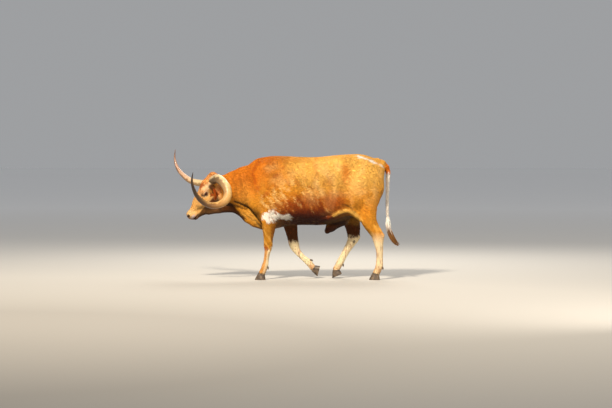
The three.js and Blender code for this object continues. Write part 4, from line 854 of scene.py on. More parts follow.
def scruffy(p):
    """How long and unkempt the coat is: 1 over the shoulder, elbow and ribs, 0 where it lies sleek."""
    return patch(p, (60, 1010), (430, 210), 0.7, 8) * smooth((np.abs(p[:, 1]) - 60) / 60)


def coat_colour(p, normals):
    """The coat's colour at points on the hide, from its markings and the scruffy streaks between them, and
    painted light and shade.
    """
    warp = np.stack([grain(p, 90, seed) for seed in (3, 4, 5)], 1) * 24
    fine = np.stack([grain(p, 24, seed) for seed in (6, 7, 8)], 1) * 12
    q = p + warp + fine
    streak, broad, clouds = swirls(p), grain(p, 170, 11), grain(q, (70, 160, 130), 17)
    x, aside, z = p[:, 0], np.abs(p[:, 1]), p[:, 2]
    flat = q[:, [0, 2]]
    colour = np.tile(ORANGE, (len(p), 1)).astype(float)
    for tone, strength, *oval in BROAD_TONES:
        colour = lay(colour, tone, strength * patch(q, *oval))
    colour = lay(colour, RUST, 0.55 * smooth((30 - off_line(flat, BLADE_LINE)) / 24))
    for tone, strength, *oval in SMALL_TONES:
        colour = lay(colour, tone, strength * patch(q, *oval))
    for tone, strength, centre, size, edge, share, growth in RIB_TONES:
        colour = lay(colour, tone, strength * patch(q, centre, size, edge) * smooth(share + growth * streak))
    scruff = scruffy(q)
    colour = lay(colour, RUST, scruff * smooth(streak * 1.8 + 0.1) * 0.5)
    colour = lay(colour, MAHOGANY, scruff * smooth(streak * 2.6 - 1.0) * 0.55)
    for tone, strength, centre, size, edge, share, growth in WISP_TONES:
        colour = lay(colour, tone, strength * patch(q, centre, size, edge) * smooth(share + growth * streak))
    cloudy = patch(q, (600, 1150), (620, 260), 0.6) * smooth(clouds * 1.4 + 0.1 * streak)
    colour = lay(colour, STRAW, cloudy * 0.5)
    colour = lay(colour, colour * 0.78, 0.55 * smooth(0.4 + 0.6 * broad - 0.7 * clouds))
    colour = lay(colour, RUST, 0.65 * patch(q, (590, 960), (110, 76), 0.9))
    # Painted highlight: a pale band along the top of the flank fold, where light catches it.
    fold_top_highlight = smooth((34 - off_line(p[:, [0, 2]], FOLD_LINE)) / 22) * (aside > 150)
    colour = lay(colour, PALE, 0.8 * fold_top_highlight)
    # More painted shade in the hollow in front of the hip.
    colour = lay(colour, DEEP, 0.5 * patch(q, (712, 1250), (46, 130), 0.9))
    # Painted shadow of the head and horns on the throat and the front of the neck, a dark wedge behind the
    # jaw.
    throat_shadow_half = np.interp(q[:, 0], [-700, -480], [96, 26])
    throat_shadow = smooth((throat_shadow_half - off_line(flat, THROAT_SHADOW_LINE)) / 34)
    colour = lay(colour, MAHOGANY * 0.3, 0.93 * throat_shadow)
    # Painted highlight on the lit ridge of the dewlap and brisket, broken by the streaks.
    brisket_highlight = patch(q, (-400, 730), (170, 50), 0.5, -38)
    colour = lay(colour, PALE, 0.5 * brisket_highlight * smooth(0.6 - streak))
    # Painted shade under the belly: dark olive-tan on the underside behind the elbows.
    belly_shade = smooth((668 + 30 * broad - z) / 50) * smooth((250 - aside) / 60) * (x > -60)
    colour = lay(colour, SHADE_TAN * 0.6, 0.85 * belly_shade)
    # Painted shade on the inner thighs, between the hind legs below the flank folds.
    inner = smooth((215 - aside) / 30) * smooth((808 - z) / 50) * (x > 420) * (x < 960)
    colour = lay(colour, SHADE_TAN, 0.75 * inner)
    sheath = patch(p, (585, 630), (150, 72), 0.25, 33) * smooth((100 - aside) / 20)
    colour = lay(colour, MAHOGANY * 0.3, 0.9 * sheath)
    ragged = p + warp * 0.8 + fine * 1.6
    ragged[:, 2] += streak * 22
    elbow = np.max([patch(ragged, *oval) for oval in ELBOW_WHITE], axis=0)
    colour = lay(colour, WHITE, elbow * smooth((aside - 60) / 60) * smooth(1.3 - 0.9 * streak))
    colour = lay(colour, RUST, elbow * smooth(streak * 3 - 1.3) * 0.6)
    for oval in RUMP_WHITE:
        colour = lay(colour, WHITE, patch(p + fine * 0.8, *oval) * smooth((streak + 0.8) * 2) * 0.95)
    colour = lay(colour, legs_colour(p, q, streak), smooth((690 - q[:, 2]) / 60) * on_leg(p))
    tail = smooth((x - 1178) / 8)
    tail_colour = lay(np.tile(WHITE, (len(p), 1)), DEEP, smooth((q[:, 2] - 1250) / 50))
    colour = lay(colour, tail_colour, tail)
    colour = head_colour(colour, p, streak)
    # Painted shade on every surface that faces down, above the lower legs.
    shaded = 0.62 * smooth((-normals[:, 2] - 0.1) / 0.6) * smooth((z - 420) / 160)
    # Painted shade in the narrow creases of the hide, kept off the tail.
    crease_shade = 0.05 * creased(p, 18)
    return colour * (1 - np.clip(shaded + crease_shade * (1 - tail), 0, 0.86))[:, None]


def leg_at(leg, z):
    """A leg's middle line at a height, as x and y, and its reach fore and aft there."""
    rows = np.array(leg["chain"], float)[::-1]
    x, across, reach = (np.interp(z, rows[:, 2], rows[:, k]) for k in (0, 1, 3))
    return x, across * leg["side"], reach


def on_leg(p):
    """How surely a point is on a leg: 1 beside a leg's joints and 0 on the belly between them."""
    best = np.zeros(len(p))
    for leg in LEGS.values():
        x, y, reach = leg_at(leg, p[:, 2])
        off = np.maximum(np.abs(p[:, 0] - x), np.abs(p[:, 1] - y)) / (reach + 45)
        best = np.maximum(best, smooth((1.35 - off) / 0.3))
    return best


def behind_leg(p):
    """How far a point is behind the middle line of the leg nearest to it."""
    found, best = np.zeros(len(p)), np.full(len(p), 1e9)
    for leg in LEGS.values():
        x, y, _ = leg_at(leg, p[:, 2])
        off = np.hypot(p[:, 0] - x, p[:, 1] - y)
        found = np.where(off < best, p[:, 0] - x, found)
        best = np.minimum(best, off)
    return found


def legs_colour(p, q, streak):
    """Cream lower legs, orange above: to the knee and hock on the near side, dark brown deepened by painted
    shadow on the far side.
    """
    fore, near, z = p[:, 0] < 520, p[:, 1] < 0, p[:, 2]
    # The far legs' cream is a little lighter than the near legs': painted light against the body's shadow on
    # them.
    colour = CREAM * np.where(near, 1.08, 1.14)[:, None]
    behind = behind_leg(p)
    edge = np.where(fore, np.where(near, 350, 425), np.where(near, 400, 485))
    edge = edge + 30 * streak + 26 * grain(p, 26, 23)
    upper = np.where((fore & near)[:, None], ORANGE * 0.7, ORANGE)
    upper = lay(upper, PALE, 0.6 * near * smooth(-streak * 2 + 0.3))
    # Painted shade down the back of the near foreleg above the knee, the side turned from the light.
    back_edge_shade = near * fore * smooth((behind - 14) / 26) * smooth((z - 420) / 60)
    upper = lay(upper, MAHOGANY, 0.6 * back_edge_shade)
    upper = lay(upper, CREAM, 0.55 * near * ~fore * smooth((590 - z) / 90))
    # The far legs' upper parts near black: dark brown coat deepened by painted shadow of the body.
    upper = lay(upper, MAHOGANY * 0.28, 0.95 * ~near)
    colour = lay(colour, upper, smooth((q[:, 2] - edge) / np.where(near & ~fore, 110, 30)))
    tan = colour * 0.2 + ORANGE * 0.8
    colour = lay(colour, tan, near * fore * smooth((6 - behind) / 16) * smooth((400 - z) / 60))
    colour = lay(colour, RUST, 0.85 * patch(q, (-238, 372), (24, 34), 0.4) * near)
    hind_edges = near * ~fore * smooth((np.abs(behind) - 24) / 14) * smooth((400 - z) / 40)
    colour = lay(colour, ORANGE, 0.4 * hind_edges)
    lines = smooth(grain(p, (10, 26, 90), 22) * 2.4 - 0.5)
    colour = lay(colour, RUST * 0.8, 0.42 * lines * smooth((430 - z) / 60))
    specks = smooth(grain(p, 15, 21) * 3 - 1.1) * ~near
    colour = lay(colour, RUST * 0.6, 0.6 * specks)
    colour = lay(colour, DARK, patch(p, (816, 444), (15, 13), 0.3) * (p[:, 1] > 0))
    colour = lay(colour, ORANGE * 0.9, 0.5 * smooth((190 - z) / 60) * (0.6 + 0.4 * streak))
    return lay(colour, SHADE_TAN, 0.45 * smooth((104 - z) / 40))


def head_colour(colour, p, streak):
    """A tan face, rust-red over the poll, cream on brow, eye ring and muzzle, dark nostrils and mouth, with
    painted shade in their recesses, under the jaw and by the ear's root.
    """
    h = into_head(p)
    u, v, aside = h[:, 0], h[:, 2], np.abs(h[:, 1])

    def off(centre, size):
        """How far each point is from an oval's middle in the side view of the head, in half sizes."""
        return np.hypot((u - centre[0]) / size[0], (v - centre[1]) / size[1])

    eye = EYE_AT[:2]
    face = lay(np.tile(FACE, (len(p), 1)).astype(float), PALE, 0.5 * smooth((u - 240) / 160))
    face = lay(face, ORANGE, 0.7 * smooth((60 - np.abs(v + 60)) / 60) * smooth((330 - u) / 80))
    face = lay(face, RUST, 0.6 * smooth((50 - np.abs(v + 130)) / 50) * smooth((360 - u) / 80))
    crown = smooth((225 + 40 * streak - u) / 60) * smooth((78 + 26 * streak - aside) / 30)
    face = lay(face, RUST, 0.85 * crown * smooth((v + 10) / 30))
    face = lay(face, RUST, 0.8 * smooth((30 + 24 * streak - u) / 40))
    brow = smooth((aside - 62) / 14) * smooth((205 - u) / 30) * smooth((u - 40) / 40)
    face = lay(face, CREAM, 0.6 * brow * smooth((v + 34) / 26) * smooth(0.9 - streak))
    face = lay(face, CREAM, 0.3 * smooth((u - 430) / 60))
    # Painted shadow between the brow and the ear's root.
    ear_root_shadow = smooth((1.2 - off((104, -40), (36, 44))) / 0.5) * (aside > 50)
    face = lay(face, MAHOGANY * 0.4, 0.9 * ear_root_shadow)
    cheek = smooth((1.2 - off((240, -84), (74, 44))) / 0.6) * (aside > 40)
    face = lay(face, STRAW, 0.5 * cheek)
    ring = off(eye, (46, 34))
    face = lay(face, CREAM, 0.5 * smooth((1.25 - ring) / 0.5) * (aside > 60))
    wrinkle = smooth(0.5 + 0.9 * np.sin((v - 0.25 * u) / 3.4)) * smooth((1.7 - ring) / 0.6)
    face = lay(face, RUST, 0.4 * wrinkle * (v > eye[1] + 6) * (aside > 60))
    rim = smooth((1.2 - off(eye, (26, 13))) / 0.3) * (aside > 80)
    face = lay(face, MAHOGANY * 0.5, 0.9 * rim)
    # Painted shadow under the rear of the jaw, below the horn's ring.
    jaw_shadow = smooth((-88 - v - 0.12 * (340 - u)) / 20) * smooth((u - 150) / 80)
    face = lay(face, MAHOGANY * 0.4, 0.85 * jaw_shadow)
    face = lay(face, PINK, bare_skin(p))
    face = lay(face, LIP_GREY, 0.85 * smooth((1.2 - off((536, -44), (40, 20))) / 0.5))
    face = lay(face, MAHOGANY * 0.3, 0.85 * smooth((-62 - v) / 8) * smooth((u - 500) / 30))
    nostril = smooth((1.25 - off((558, 2), (26, 15))) / 0.5) * smooth((aside - 30) / 8)
    face = lay(face, MAHOGANY * 0.45, 0.9 * nostril)
    face = lay(face, PINK * 0.45, bare_skin(p) * smooth(grain(p, 9, 31) * 2 - 0.4))
    # Painted shade in the recesses of the nostrils and the mouth: near black close to each cut.
    for kind, deep in ((slice(2, 6), 20.0), (slice(6, 10), 9.0)):
        gap = np.min([distance(h) for _, _, distance, _ in head_cuts[kind]], axis=0)
        face = lay(face, DARK, 0.92 * smooth((deep - gap) / deep))
    for root, axes, _ in EARS.values():
        e = (h - root) @ axes.T
        ear_mask = smooth((e[:, 0] - 14) / 20) * (np.abs(e[:, 1]) < 62) * (np.abs(e[:, 2]) < 50)
        hollow = ear_mask * smooth((e[:, 2] + 8) / 8) * smooth((40 - np.abs(e[:, 1])) / 8)
        stripes = smooth(0.5 + 1.4 * np.sin(e[:, 1] / 4.6 + 0.01 * e[:, 0]))
        face = lay(face, RUST * 0.75, ear_mask)
        face = lay(face, RUST * 0.5, 0.95 * hollow)
        face = lay(face, DARK, hollow * (0.5 + 0.5 * stripes))
    return lay(colour, face, smooth((-740 - p[:, 0]) / 60))


def bare_skin(p):
    """1 on the bare nose and lips and 0 on the haired hide."""
    u, w, v = into_head(p).T
    nose = smooth((u - 540 - 0.5 * np.abs(w)) / 10) * smooth((v + 60) / 14)
    lips = smooth((u - 500 + 0.3 * np.abs(w)) / 26) * smooth((-52 - v) / 12)
    return np.maximum(nose, 0.8 * lips) * smooth((-1020 - p[:, 0]) / 20)


def mesh_piece(name, points, faces, finish, colours=None, uv=None, map_name="OFBake"):
    """A smooth mesh in metres from points in millimetres, with a colour and a UV place at each point."""
    mesh = bpy.data.meshes.new(name)
    sizes = np.full(len(faces), faces.shape[1], dtype=np.int32)
    mesh.vertices.add(len(points))
    mesh.vertices.foreach_set("co", (points / METRE).astype(np.float32).ravel())
    mesh.loops.add(faces.size)
    mesh.loops.foreach_set("vertex_index", faces.astype(np.int32).ravel())
    mesh.polygons.add(len(faces))
    mesh.polygons.foreach_set("loop_start", (np.cumsum(sizes) - sizes).astype(np.int32))
    mesh.polygons.foreach_set("use_smooth", np.full(len(faces), True))
    if colours is not None:
        layer = mesh.color_attributes.new("hair_colour", "FLOAT_COLOR", "POINT")
        rgba = np.hstack([np.clip(colours, 0, 1), np.ones((len(points), 1))]).astype(np.float32)
        layer.data.foreach_set("color", rgba.ravel())
    if uv is not None:
        layer = mesh.uv_layers.new(name=map_name)
        layer.data.foreach_set("uv", uv[faces.ravel()].astype(np.float32).ravel())
    mesh.materials.append(finish)
    mesh.update(calc_edges=True)
    mesh.validate()
    made = bpy.data.objects.new(name, mesh)
    bpy.context.collection.objects.link(made)
    return made


def coat_map(p):
    """Each point's place on the hide's own unwrap: length along the body, and angle round it or a leg."""
    middle = np.interp(p[:, 0], [-1180, -960, -760, -400, 200, 1100], [790, 1000, 1060, 1060, 1040, 1180])
    around = np.arctan2(p[:, 1], p[:, 2] - middle) / (2 * np.pi) + 0.5
    u, v = (p[:, 0] + 1200) / 2450, 0.01 + 0.6 * around
    low_leg = (on_leg(p) > 0.5) & (p[:, 2] < 600)
    for place, leg in enumerate(LEGS.values()):
        x, y, _ = leg_at(leg, p[:, 2])
        on = low_leg & (p[:, 1] * leg["side"] > 0) & (np.abs(p[:, 0] - x) < 130)
        turn = np.arctan2(p[:, 1] - y, p[:, 0] - x) / (2 * np.pi) + 0.5
        u = np.where(on, 0.01 + 0.24 * place + 0.22 * turn, u)
        v = np.where(on, 0.63 + 0.26 * p[:, 2] / 600, v)
    tail = p[:, 0] > 1180
    u = np.where(tail, 0.01 + 0.2 * (np.arctan2(p[:, 1], p[:, 0] - 1215) / (2 * np.pi) + 0.5), u)
    v = np.where(tail, 0.91 + 0.08 * p[:, 2] / 1400, v)
    h = into_head(p)
    for place, (root, axes, length) in enumerate(EARS.values()):
        e = (h - root) @ axes.T
        on = (e[:, 0] > 24) & (np.abs(e[:, 1]) < 62) & (np.abs(e[:, 2]) < 50) & (p[:, 0] < -700)
        u = np.where(on, 0.3 + 0.3 * place + 0.27 * np.clip(e[:, 0] / length, 0, 1), u)
        v = np.where(on, 0.91 + 0.08 * (0.5 + e[:, 1] / 130), v)
    return np.stack([np.clip(u, 0, 1), np.clip(v, 0, 1)], 1)


def noise(tree, place, scale, detail, roughness=0.5):
    """Noise over a place, from 0 to 1."""
    inputs = {"Vector": place, "Scale": scale, "Detail": detail, "Roughness": roughness}
    return node(tree, "ShaderNodeTexNoise", inputs).outputs["Fac"]


def reckon(tree, operation, a, b):
    """Two values added or multiplied."""
    return node(tree, "ShaderNodeMath", {0: a, 1: b}, operation=operation).outputs[0]


def stretched(tree, place, scale):
    """A place scaled along each axis."""
    return node(tree, "ShaderNodeMapping", {"Vector": place, "Scale": scale}).outputs[0]


def toned(tree, colour, value):
    """A colour made lighter or darker by a value."""
    return node(tree, "ShaderNodeHueSaturation", {"Color": colour, "Value": value}).outputs[0]


def raise_surface(tree, shader, height, strength, distance):
    """Puts a bump of a height into a shader."""
    bump = node(tree, "ShaderNodeBump", {"Height": height, "Strength": strength, "Distance": distance})
    tree.links.new(bump.outputs[0], shader.inputs["Normal"])


def hair_group():
    """A node group that streaks a colour along the coat and gives a fine hair bump height."""
    group = bpy.data.node_groups.new("hair_streaks", "ShaderNodeTree")
    for name, kind, way in (
        ("Colour", "NodeSocketColor", "INPUT"),
        ("Strength", "NodeSocketFloat", "INPUT"),
        ("Colour", "NodeSocketColor", "OUTPUT"),
        ("Height", "NodeSocketFloat", "OUTPUT"),
    ):
        group.interface.new_socket(name=name, in_out=way, socket_type=kind)
    enter = group.nodes.new("NodeGroupInput")
    leave = group.nodes.new("NodeGroupOutput")
    place = stretched(group, node(group, "ShaderNodeTexCoord").outputs["Object"], (0.35, 1.0, 0.6))
    both = reckon(group, "ADD", noise(group, place, 420.0, 3.0), noise(group, place, 60.0, 4.0))
    offset = reckon(group, "ADD", both, -1.0)
    scaled = reckon(group, "MULTIPLY", offset, enter.outputs["Strength"])
    shaded = toned(group, enter.outputs["Colour"], reckon(group, "ADD", scaled, 1.0))
    group.links.new(shaded, leave.inputs["Colour"])
    group.links.new(both, leave.inputs["Height"])
    return group


HAIR_STREAKS = hair_group()


def hair_material(name, strength, bump, roughness):
    """A hair finish: the painted colour of each lock, streaked, with a fine bump and a soft sheen."""
    made, tree, shader = material(name, "#C4742C", roughness)
    painted = node(tree, "ShaderNodeAttribute", attribute_name="hair_colour")
    streaks = node(tree, "ShaderNodeGroup", node_tree=HAIR_STREAKS)
    streaks.inputs["Strength"].default_value = strength
    tree.links.new(painted.outputs["Color"], streaks.inputs["Colour"])
    tree.links.new(streaks.outputs["Colour"], shader.inputs["Base Color"])
    raise_surface(tree, shader, streaks.outputs["Height"], bump, 0.002)
    shader.inputs["Sheen Weight"].default_value = 0.02
    shader.inputs["Specular IOR Level"].default_value = 0.14
    return made


hide_finish = hair_material("hide", 0.28, 0.7, 0.62)
hide = mesh_piece("hide", hide_points, hide_triangles, hide_finish, coat_colour(hide_points, hide_normals))
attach(hide, "root")
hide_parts("head", "neck", "torso", "ear_left", "ear_right", "tail", *("leg_" + name for name in LEGS))

# Coat
# Short, sleek hair in flat tapered tufts that lie back along the body and down the legs and face.
# Each tuft is a thin closed blade rooted in the hide, shortest on the face and feet.

COAT_PIECES, PATCH_SIZE = 8, 0.003
# The area of hide for each tuft, in square millimetres.
BODY_TUFT, LEG_TUFT, HEAD_TUFT = 50.0, 34.0, 17.0
random = np.random.default_rng(11)
hide_corners = hide_points[hide_triangles]
hide_sides = hide_corners[:, 1:] - hide_corners[:, :1]
hide_areas = np.linalg.norm(np.cross(hide_sides[:, 0], hide_sides[:, 1]), axis=1) / 2


def lie_of_coat(p):
    """The way the hair lies at each point: back and down the body, down the legs, down the face."""
    way = np.stack([np.full(len(p), 1.0), np.zeros(len(p)), -0.25 - 0.5 * smooth((1100 - p[:, 2]) / 500)], 1)
    neck = smooth((-300 - p[:, 0]) / 200)[:, None]
    way = way * (1 - neck) + neck * np.array([0.85, 0, -0.75])
    leg = (on_leg(p) * smooth((760 - p[:, 2]) / 160))[:, None]
    way = way * (1 - leg) + leg * np.array([0.12, 0, -1.0])
    tail = smooth((p[:, 0] - 1172) / 12)[:, None]
    way = way * (1 - tail) + tail * np.array([0.0, 0, -1.0])
    h = into_head(p)
    u, w, v = h.T
    down_face = np.stack([np.ones(len(p)), 0.004 * w, -0.1 - 0.3 * smooth(-v / 100)], 1) @ HEAD_AXES.T
    up_poll = np.stack([-np.ones(len(p)), 0.006 * w, np.full(len(p), -0.2)], 1) @ HEAD_AXES.T
    poll = smooth((40 - u) / 60)[:, None]
    face = down_face * (1 - poll) + up_poll * poll
    head = (smooth((-760 - p[:, 0]) / 60) * smooth((u + 60) / 60))[:, None]
    way = way * (1 - head) + head * face
    for root, axes, _ in EARS.values():
        e = (h - root) @ axes.T
        on = ((e[:, 0] > 14) & (np.abs(e[:, 1]) < 60) & (np.abs(e[:, 2]) < 48) & (p[:, 0] < -700))[:, None]
        way = np.where(on, HEAD_AXES @ axes[0], way)
    return way / np.linalg.norm(way, axis=1, keepdims=True)


def scatter(count, weight):
    """Random places on the hide, more where the weight is greater: points and unit normals."""
    share = np.cumsum(hide_areas * weight)
    pick = np.searchsorted(share, random.random(count) * share[-1])
    a, b = random.random((2, count))
    over = a + b > 1
    a, b = np.where(over, 1 - a, a), np.where(over, 1 - b, b)
    bary = np.stack([1 - a - b, a, b], 1)[:, :, None]
    return (hide_corners[pick] * bary).sum(1), (hide_normals[hide_triangles[pick]] * bary).sum(1)


def locks(paths, outward, half_width, half_thick, sides):
    """Closed tapered locks along paths of points: rings of few sides that shrink to a tip.

    Each ring lies across its path, wide along the hide and thin away from it.
    """
    count, rings = paths.shape[0], paths.shape[1] - 1
    along = np.gradient(paths, axis=1)
    across = np.cross(outward, along)
    across /= np.maximum(np.linalg.norm(across, axis=2, keepdims=True), 1e-9)
    up = np.cross(along, across)
    up /= np.maximum(np.linalg.norm(up, axis=2, keepdims=True), 1e-9)
    angle = np.arange(sides) / sides * 2 * np.pi + np.pi / 2
    ring = (
        paths[:, :-1, None]
        + across[:, :-1, None] * (np.cos(angle) * half_width[..., None])[..., None]
        + up[:, :-1, None] * (np.sin(angle) * half_thick[..., None])[..., None]
    )
    points = np.concatenate([ring.reshape(count, rings * sides, 3), paths[:, -1:]], 1)
    i = np.arange(sides)
    j = (i + 1) % sides
    faces = []
    for r in range(rings - 1):
        low, high = r * sides, (r + 1) * sides
        faces.append(np.stack([low + i, low + j, high + j], 1))
        faces.append(np.stack([low + i, high + j, high + i], 1))
    last = (rings - 1) * sides
    faces.append(np.stack([last + i, last + j, np.full(sides, rings * sides)], 1))
    faces.append(np.stack([np.zeros(sides - 2, int), i[2:], i[1:-1]], 1))
    one = np.vstack(faces)
    every = one[None] + (np.arange(count) * (rings * sides + 1))[:, None, None]
    return points.reshape(-1, 3), every.reshape(-1, 3)


def patches(roots, rings, sides):
    """A UV place for each corner of each lock: a small patch at its root's place on the unwrap."""
    home = coat_map(roots)
    t = np.append(np.repeat(np.arange(rings) / rings, sides), 1.0)
    s = np.append(np.tile(np.arange(sides) / sides - 0.5, rings), 0.0)
    off = np.stack([s, t - 0.5], 1) * PATCH_SIZE
    return np.clip(home[:, None] + off[None], 0, 1).reshape(-1, 2)


coat_finish = hair_material("short_hair", 0.28, 0.0, 0.55)


def coat_piece(name, roots, normals, length, width, lift):
    """A piece of coat: tufts that leave the hide along its lie and settle a set height above it."""
    scruff = scruffy(roots)[:, None]
    swirl = np.stack([grain(roots, 70, 15), np.zeros(len(roots)), grain(roots, 70, 16)], 1)
    stray = random.normal(0, 1, (len(roots), 3)) * (0.13 + 0.17 * scruff)
    way = lie_of_coat(roots) + stray + 0.7 * swirl * scruff
    way -= normals * (way * normals).sum(1, keepdims=True)
    way /= np.maximum(np.linalg.norm(way, axis=1, keepdims=True), 1e-6)
    way *= length[:, None]
    paths = np.stack([roots - normals, roots + way * 0.5, roots + way], 1)
    for k, height in ((1, 0.55), (2, 1.0)):
        off = np.clip(lift * height - skin_field(paths[:, k]), -length * 0.4, length * 0.4)
        paths[:, k] += normals * off[:, None]
    half = width[:, None] * np.array([0.4, 0.5])
    points, faces = locks(paths, normals[:, None], half, half * 0.18, 3)
    colour = coat_colour(roots, normals) * (1 + random.normal(0, 1, (len(roots), 1)) * (0.05 + 0.05 * scruff))
    steps = np.append(np.repeat([-1.0, 0.1], 3), 0.9)
    shade = 1 + (0.09 + 0.13 * scruff) * steps[None]
    colours = (colour[:, None] * shade[:, :, None]).reshape(-1, 3)
    made = mesh_piece(name, points, faces, coat_finish, colours, patches(roots, 2, 3))
    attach(made, "root")


# No tufts grow on the bare nose or over the eyeballs.
middles = hide_corners.mean(1)
u, w, v = into_head(middles).T
on_head = (middles[:, 0] < -740) & (u > -40)
by_eye = (np.abs(u - EYE_AT[0]) < 24) & (np.abs(v - EYE_AT[1]) < 15) & (np.abs(w) > 70)
on_low_leg = (middles[:, 2] < 600) & (on_leg(middles) > 0.5)
weight = np.where(on_head, 1 / HEAD_TUFT, np.where(on_low_leg, 1 / LEG_TUFT, 1 / BODY_TUFT))
weight = np.where(on_head & ((u > 545) | by_eye), 0, weight)
tuft_roots, tuft_normals = scatter(int((hide_areas * weight).sum()), weight)
tuft_normals /= np.maximum(np.linalg.norm(tuft_normals, axis=1, keepdims=True), 1e-6)
order = np.argsort(tuft_roots[:, 0])
for number, part in enumerate(np.array_split(order, COAT_PIECES)):
    roots, normals = tuft_roots[part], tuft_normals[part]
    headward = smooth((-740 - roots[:, 0]) / 60)
    legward = on_leg(roots) * smooth((700 - roots[:, 2]) / 150)
    scruff = scruffy(roots)
    length = (30 - 16 * headward - 10 * legward + 18 * scruff) * random.uniform(0.75, 1.3, len(roots))
    width = (5.2 - 2.7 * headward - 1.7 * legward + 1.2 * scruff) * random.uniform(0.75, 1.3, len(roots))
    lift = 3.6 - 1.2 * headward + 4.5 * scruff * random.uniform(0, 1, len(roots))
    # Longer hair hangs under the belly and behind the elbow.
    hanging = patch(roots, (340, 640), (230, 50), 0.4) * smooth(-normals[:, 2] * 2)
    by_elbow = patch(roots, (-170, 700), (110, 34), 0.5) * smooth(-roots[:, 1] / 100)
    hanging = np.maximum(hanging, 0.7 * by_elbow)
    length, lift = length + 20 * hanging, lift + 12 * hanging * random.uniform(0.3, 1, len(roots))
    coat_piece(f"coat_{number + 1}", roots, normals, length, width, lift)

# Horns
# Two long hollow horns of keratin, ringed and rough at the base and polished towards the point. The left
# one curls down and round in a ring before it rises, and the right one sweeps out, forward and up.

HORNS = {
    "horn_left": [
        (-872, -34, 1176, 44),
        (-858, -112, 1179, 50),
        (-806, -200, 1200, 51),
        (-736, -270, 1156, 51),
        (-683, -330, 1073, 50),
        (-678, -362, 1002, 49),
        (-706, -400, 942, 46),
        (-768, -436, 902, 42),
        (-846, -474, 889, 38),
        (-921, -512, 910, 34),
        (-981, -550, 950, 30),
        (-1030, -585, 1007, 25),
        (-1062, -622, 1076, 20),
        (-1082, -656, 1158, 14),
        (-1080, -678, 1222, 9),
        (-1069, -694, 1281, 3),
    ],
    "horn_right": [
        (-872, 26, 1204, 44),
        (-874, 104, 1204, 50),
        (-868, 200, 1190, 50),
        (-880, 300, 1154, 48),
        (-935, 380, 1130, 45),
        (-1004, 430, 1128, 42),
        (-1080, 484, 1136, 39),
        (-1162, 542, 1160, 35),
        (-1242, 598, 1216, 29),
        (-1318, 648, 1302, 21),
        (-1356, 680, 1418, 12),
        (-1352, 694, 1534, 3),
    ],
}
HORN_RINGS, HORN_SIDES = 260, 48


def curve_through(rows, count):
    """A smooth centripetal curve through rows of points, with any radii, sampled at equal lengths."""
    rows = np.array(rows, float)
    p = np.vstack([2 * rows[0] - rows[1], rows, 2 * rows[-1] - rows[-2]])
    gap = np.linalg.norm(np.diff(p[:, :3], axis=0), axis=1) ** 0.5
    fine = 60
    i = np.repeat(np.arange(1, len(p) - 2), fine)
    t = np.tile(np.arange(fine) / fine, len(p) - 3)[:, None]
    g0, g1, g2 = (gap[i + k][:, None] for k in (-1, 0, 1))
    a, b, c, d = (p[i + k] for k in (-1, 0, 1, 2))
    m1 = ((b - a) / g0 - (c - a) / (g0 + g1) + (c - b) / g1) * g1
    m2 = ((c - b) / g1 - (d - b) / (g1 + g2) + (d - c) / g2) * g1
    rising = t * t * (3 - 2 * t)
    line = b * (1 - rising) + c * rising + m1 * t * (1 - t) ** 2 - m2 * t * t * (1 - t)
    line = np.vstack([line, p[-2]])
    length = np.append(0, np.cumsum(np.linalg.norm(np.diff(line[:, :3], axis=0), axis=1)))
    at = np.linspace(0, length[-1], count)
    return np.stack([np.interp(at, length, column) for column in line.T], 1), at


def frames_along(line):
    """Tangents, and two directions across them, carried along the line with as little twist as can be."""
    tangent = np.gradient(line, axis=0)
    tangent /= np.linalg.norm(tangent, axis=1, keepdims=True)
    across = np.zeros_like(line)
    first = np.cross((0.2, 0.3, 1.0), tangent[0])
    across[0] = first / np.linalg.norm(first)
    for i in range(1, len(line)):
        kept = across[i - 1] - tangent[i] * (across[i - 1] @ tangent[i])
        across[i] = kept / np.linalg.norm(kept)
    return tangent, across, np.cross(tangent, across)


# Tones along each horn as shares of its length, on its outer or upper side and on its inner or lower side:
# the horn's own colour along its length, with painted light and shade between the two sides.
HORN_TONES = {
    "horn_left": [
        (0.00, "#D6C59C", "#A89468"),
        (0.07, "#CDB68A", "#5E4A2E"),
        (0.14, "#D2B88A", "#5E482E"),
        (0.26, "#DCC08A", "#9A7A50"),
        (0.38, "#C89E5C", "#B88C54"),
        (0.50, "#A87634", "#D2A868"),
        (0.60, "#704818", "#B88C50"),
        (0.68, "#462C10", "#80602E"),
        (0.80, "#2A1B0C", "#5C4222"),
        (1.00, "#1E140A", "#3E2C18"),
    ],
    "horn_right": [
        (0.00, "#D8C698", "#B09A6A"),
        (0.40, "#D2BC8C", "#967A4C"),
        (0.62, "#C9A584", "#866444"),
        (0.84, "#A87E66", "#6C4A34"),
        (1.00, "#7E5A46", "#523628"),
    ],
}
RING_CENTRE = np.array([-800.0, -320.0, 1040.0])


def horn_colours(name, share, line, points):
    """Blends each ring's outer and inner tones by the side of the horn on which a point lies, as painted
    light and shade.
    """
    away = np.array([0.0, 0.0, 1.0])[None] if name == "horn_right" else line - RING_CENTRE
    away = away / np.linalg.norm(away, axis=1, keepdims=True)
    side = points - line[:, None]
    side = side / np.maximum(np.linalg.norm(side, axis=2, keepdims=True), 1e-6)
    mottle = grain(points.reshape(-1, 3), 34, 41) + 0.6 * grain(points.reshape(-1, 3), 15, 42)
    # Painted light and shade: each side of the horn takes its own tone by the way it faces, with a mottled
    # edge between.
    outer = smooth((side * away[:, None]).sum(2) * 1.7 + 0.42 + 0.55 * mottle.reshape(side.shape[:2]))
    rows = HORN_TONES[name]
    tones = np.array([[linear(row[k]) for row in rows] for k in (1, 2)])
    at = [row[0] for row in rows]
    top, low = (np.stack([np.interp(share, at, channel) for channel in one.T], 1)[:, None] for one in tones)
    return (low + (top - low) * outer[..., None]).reshape(-1, 3)


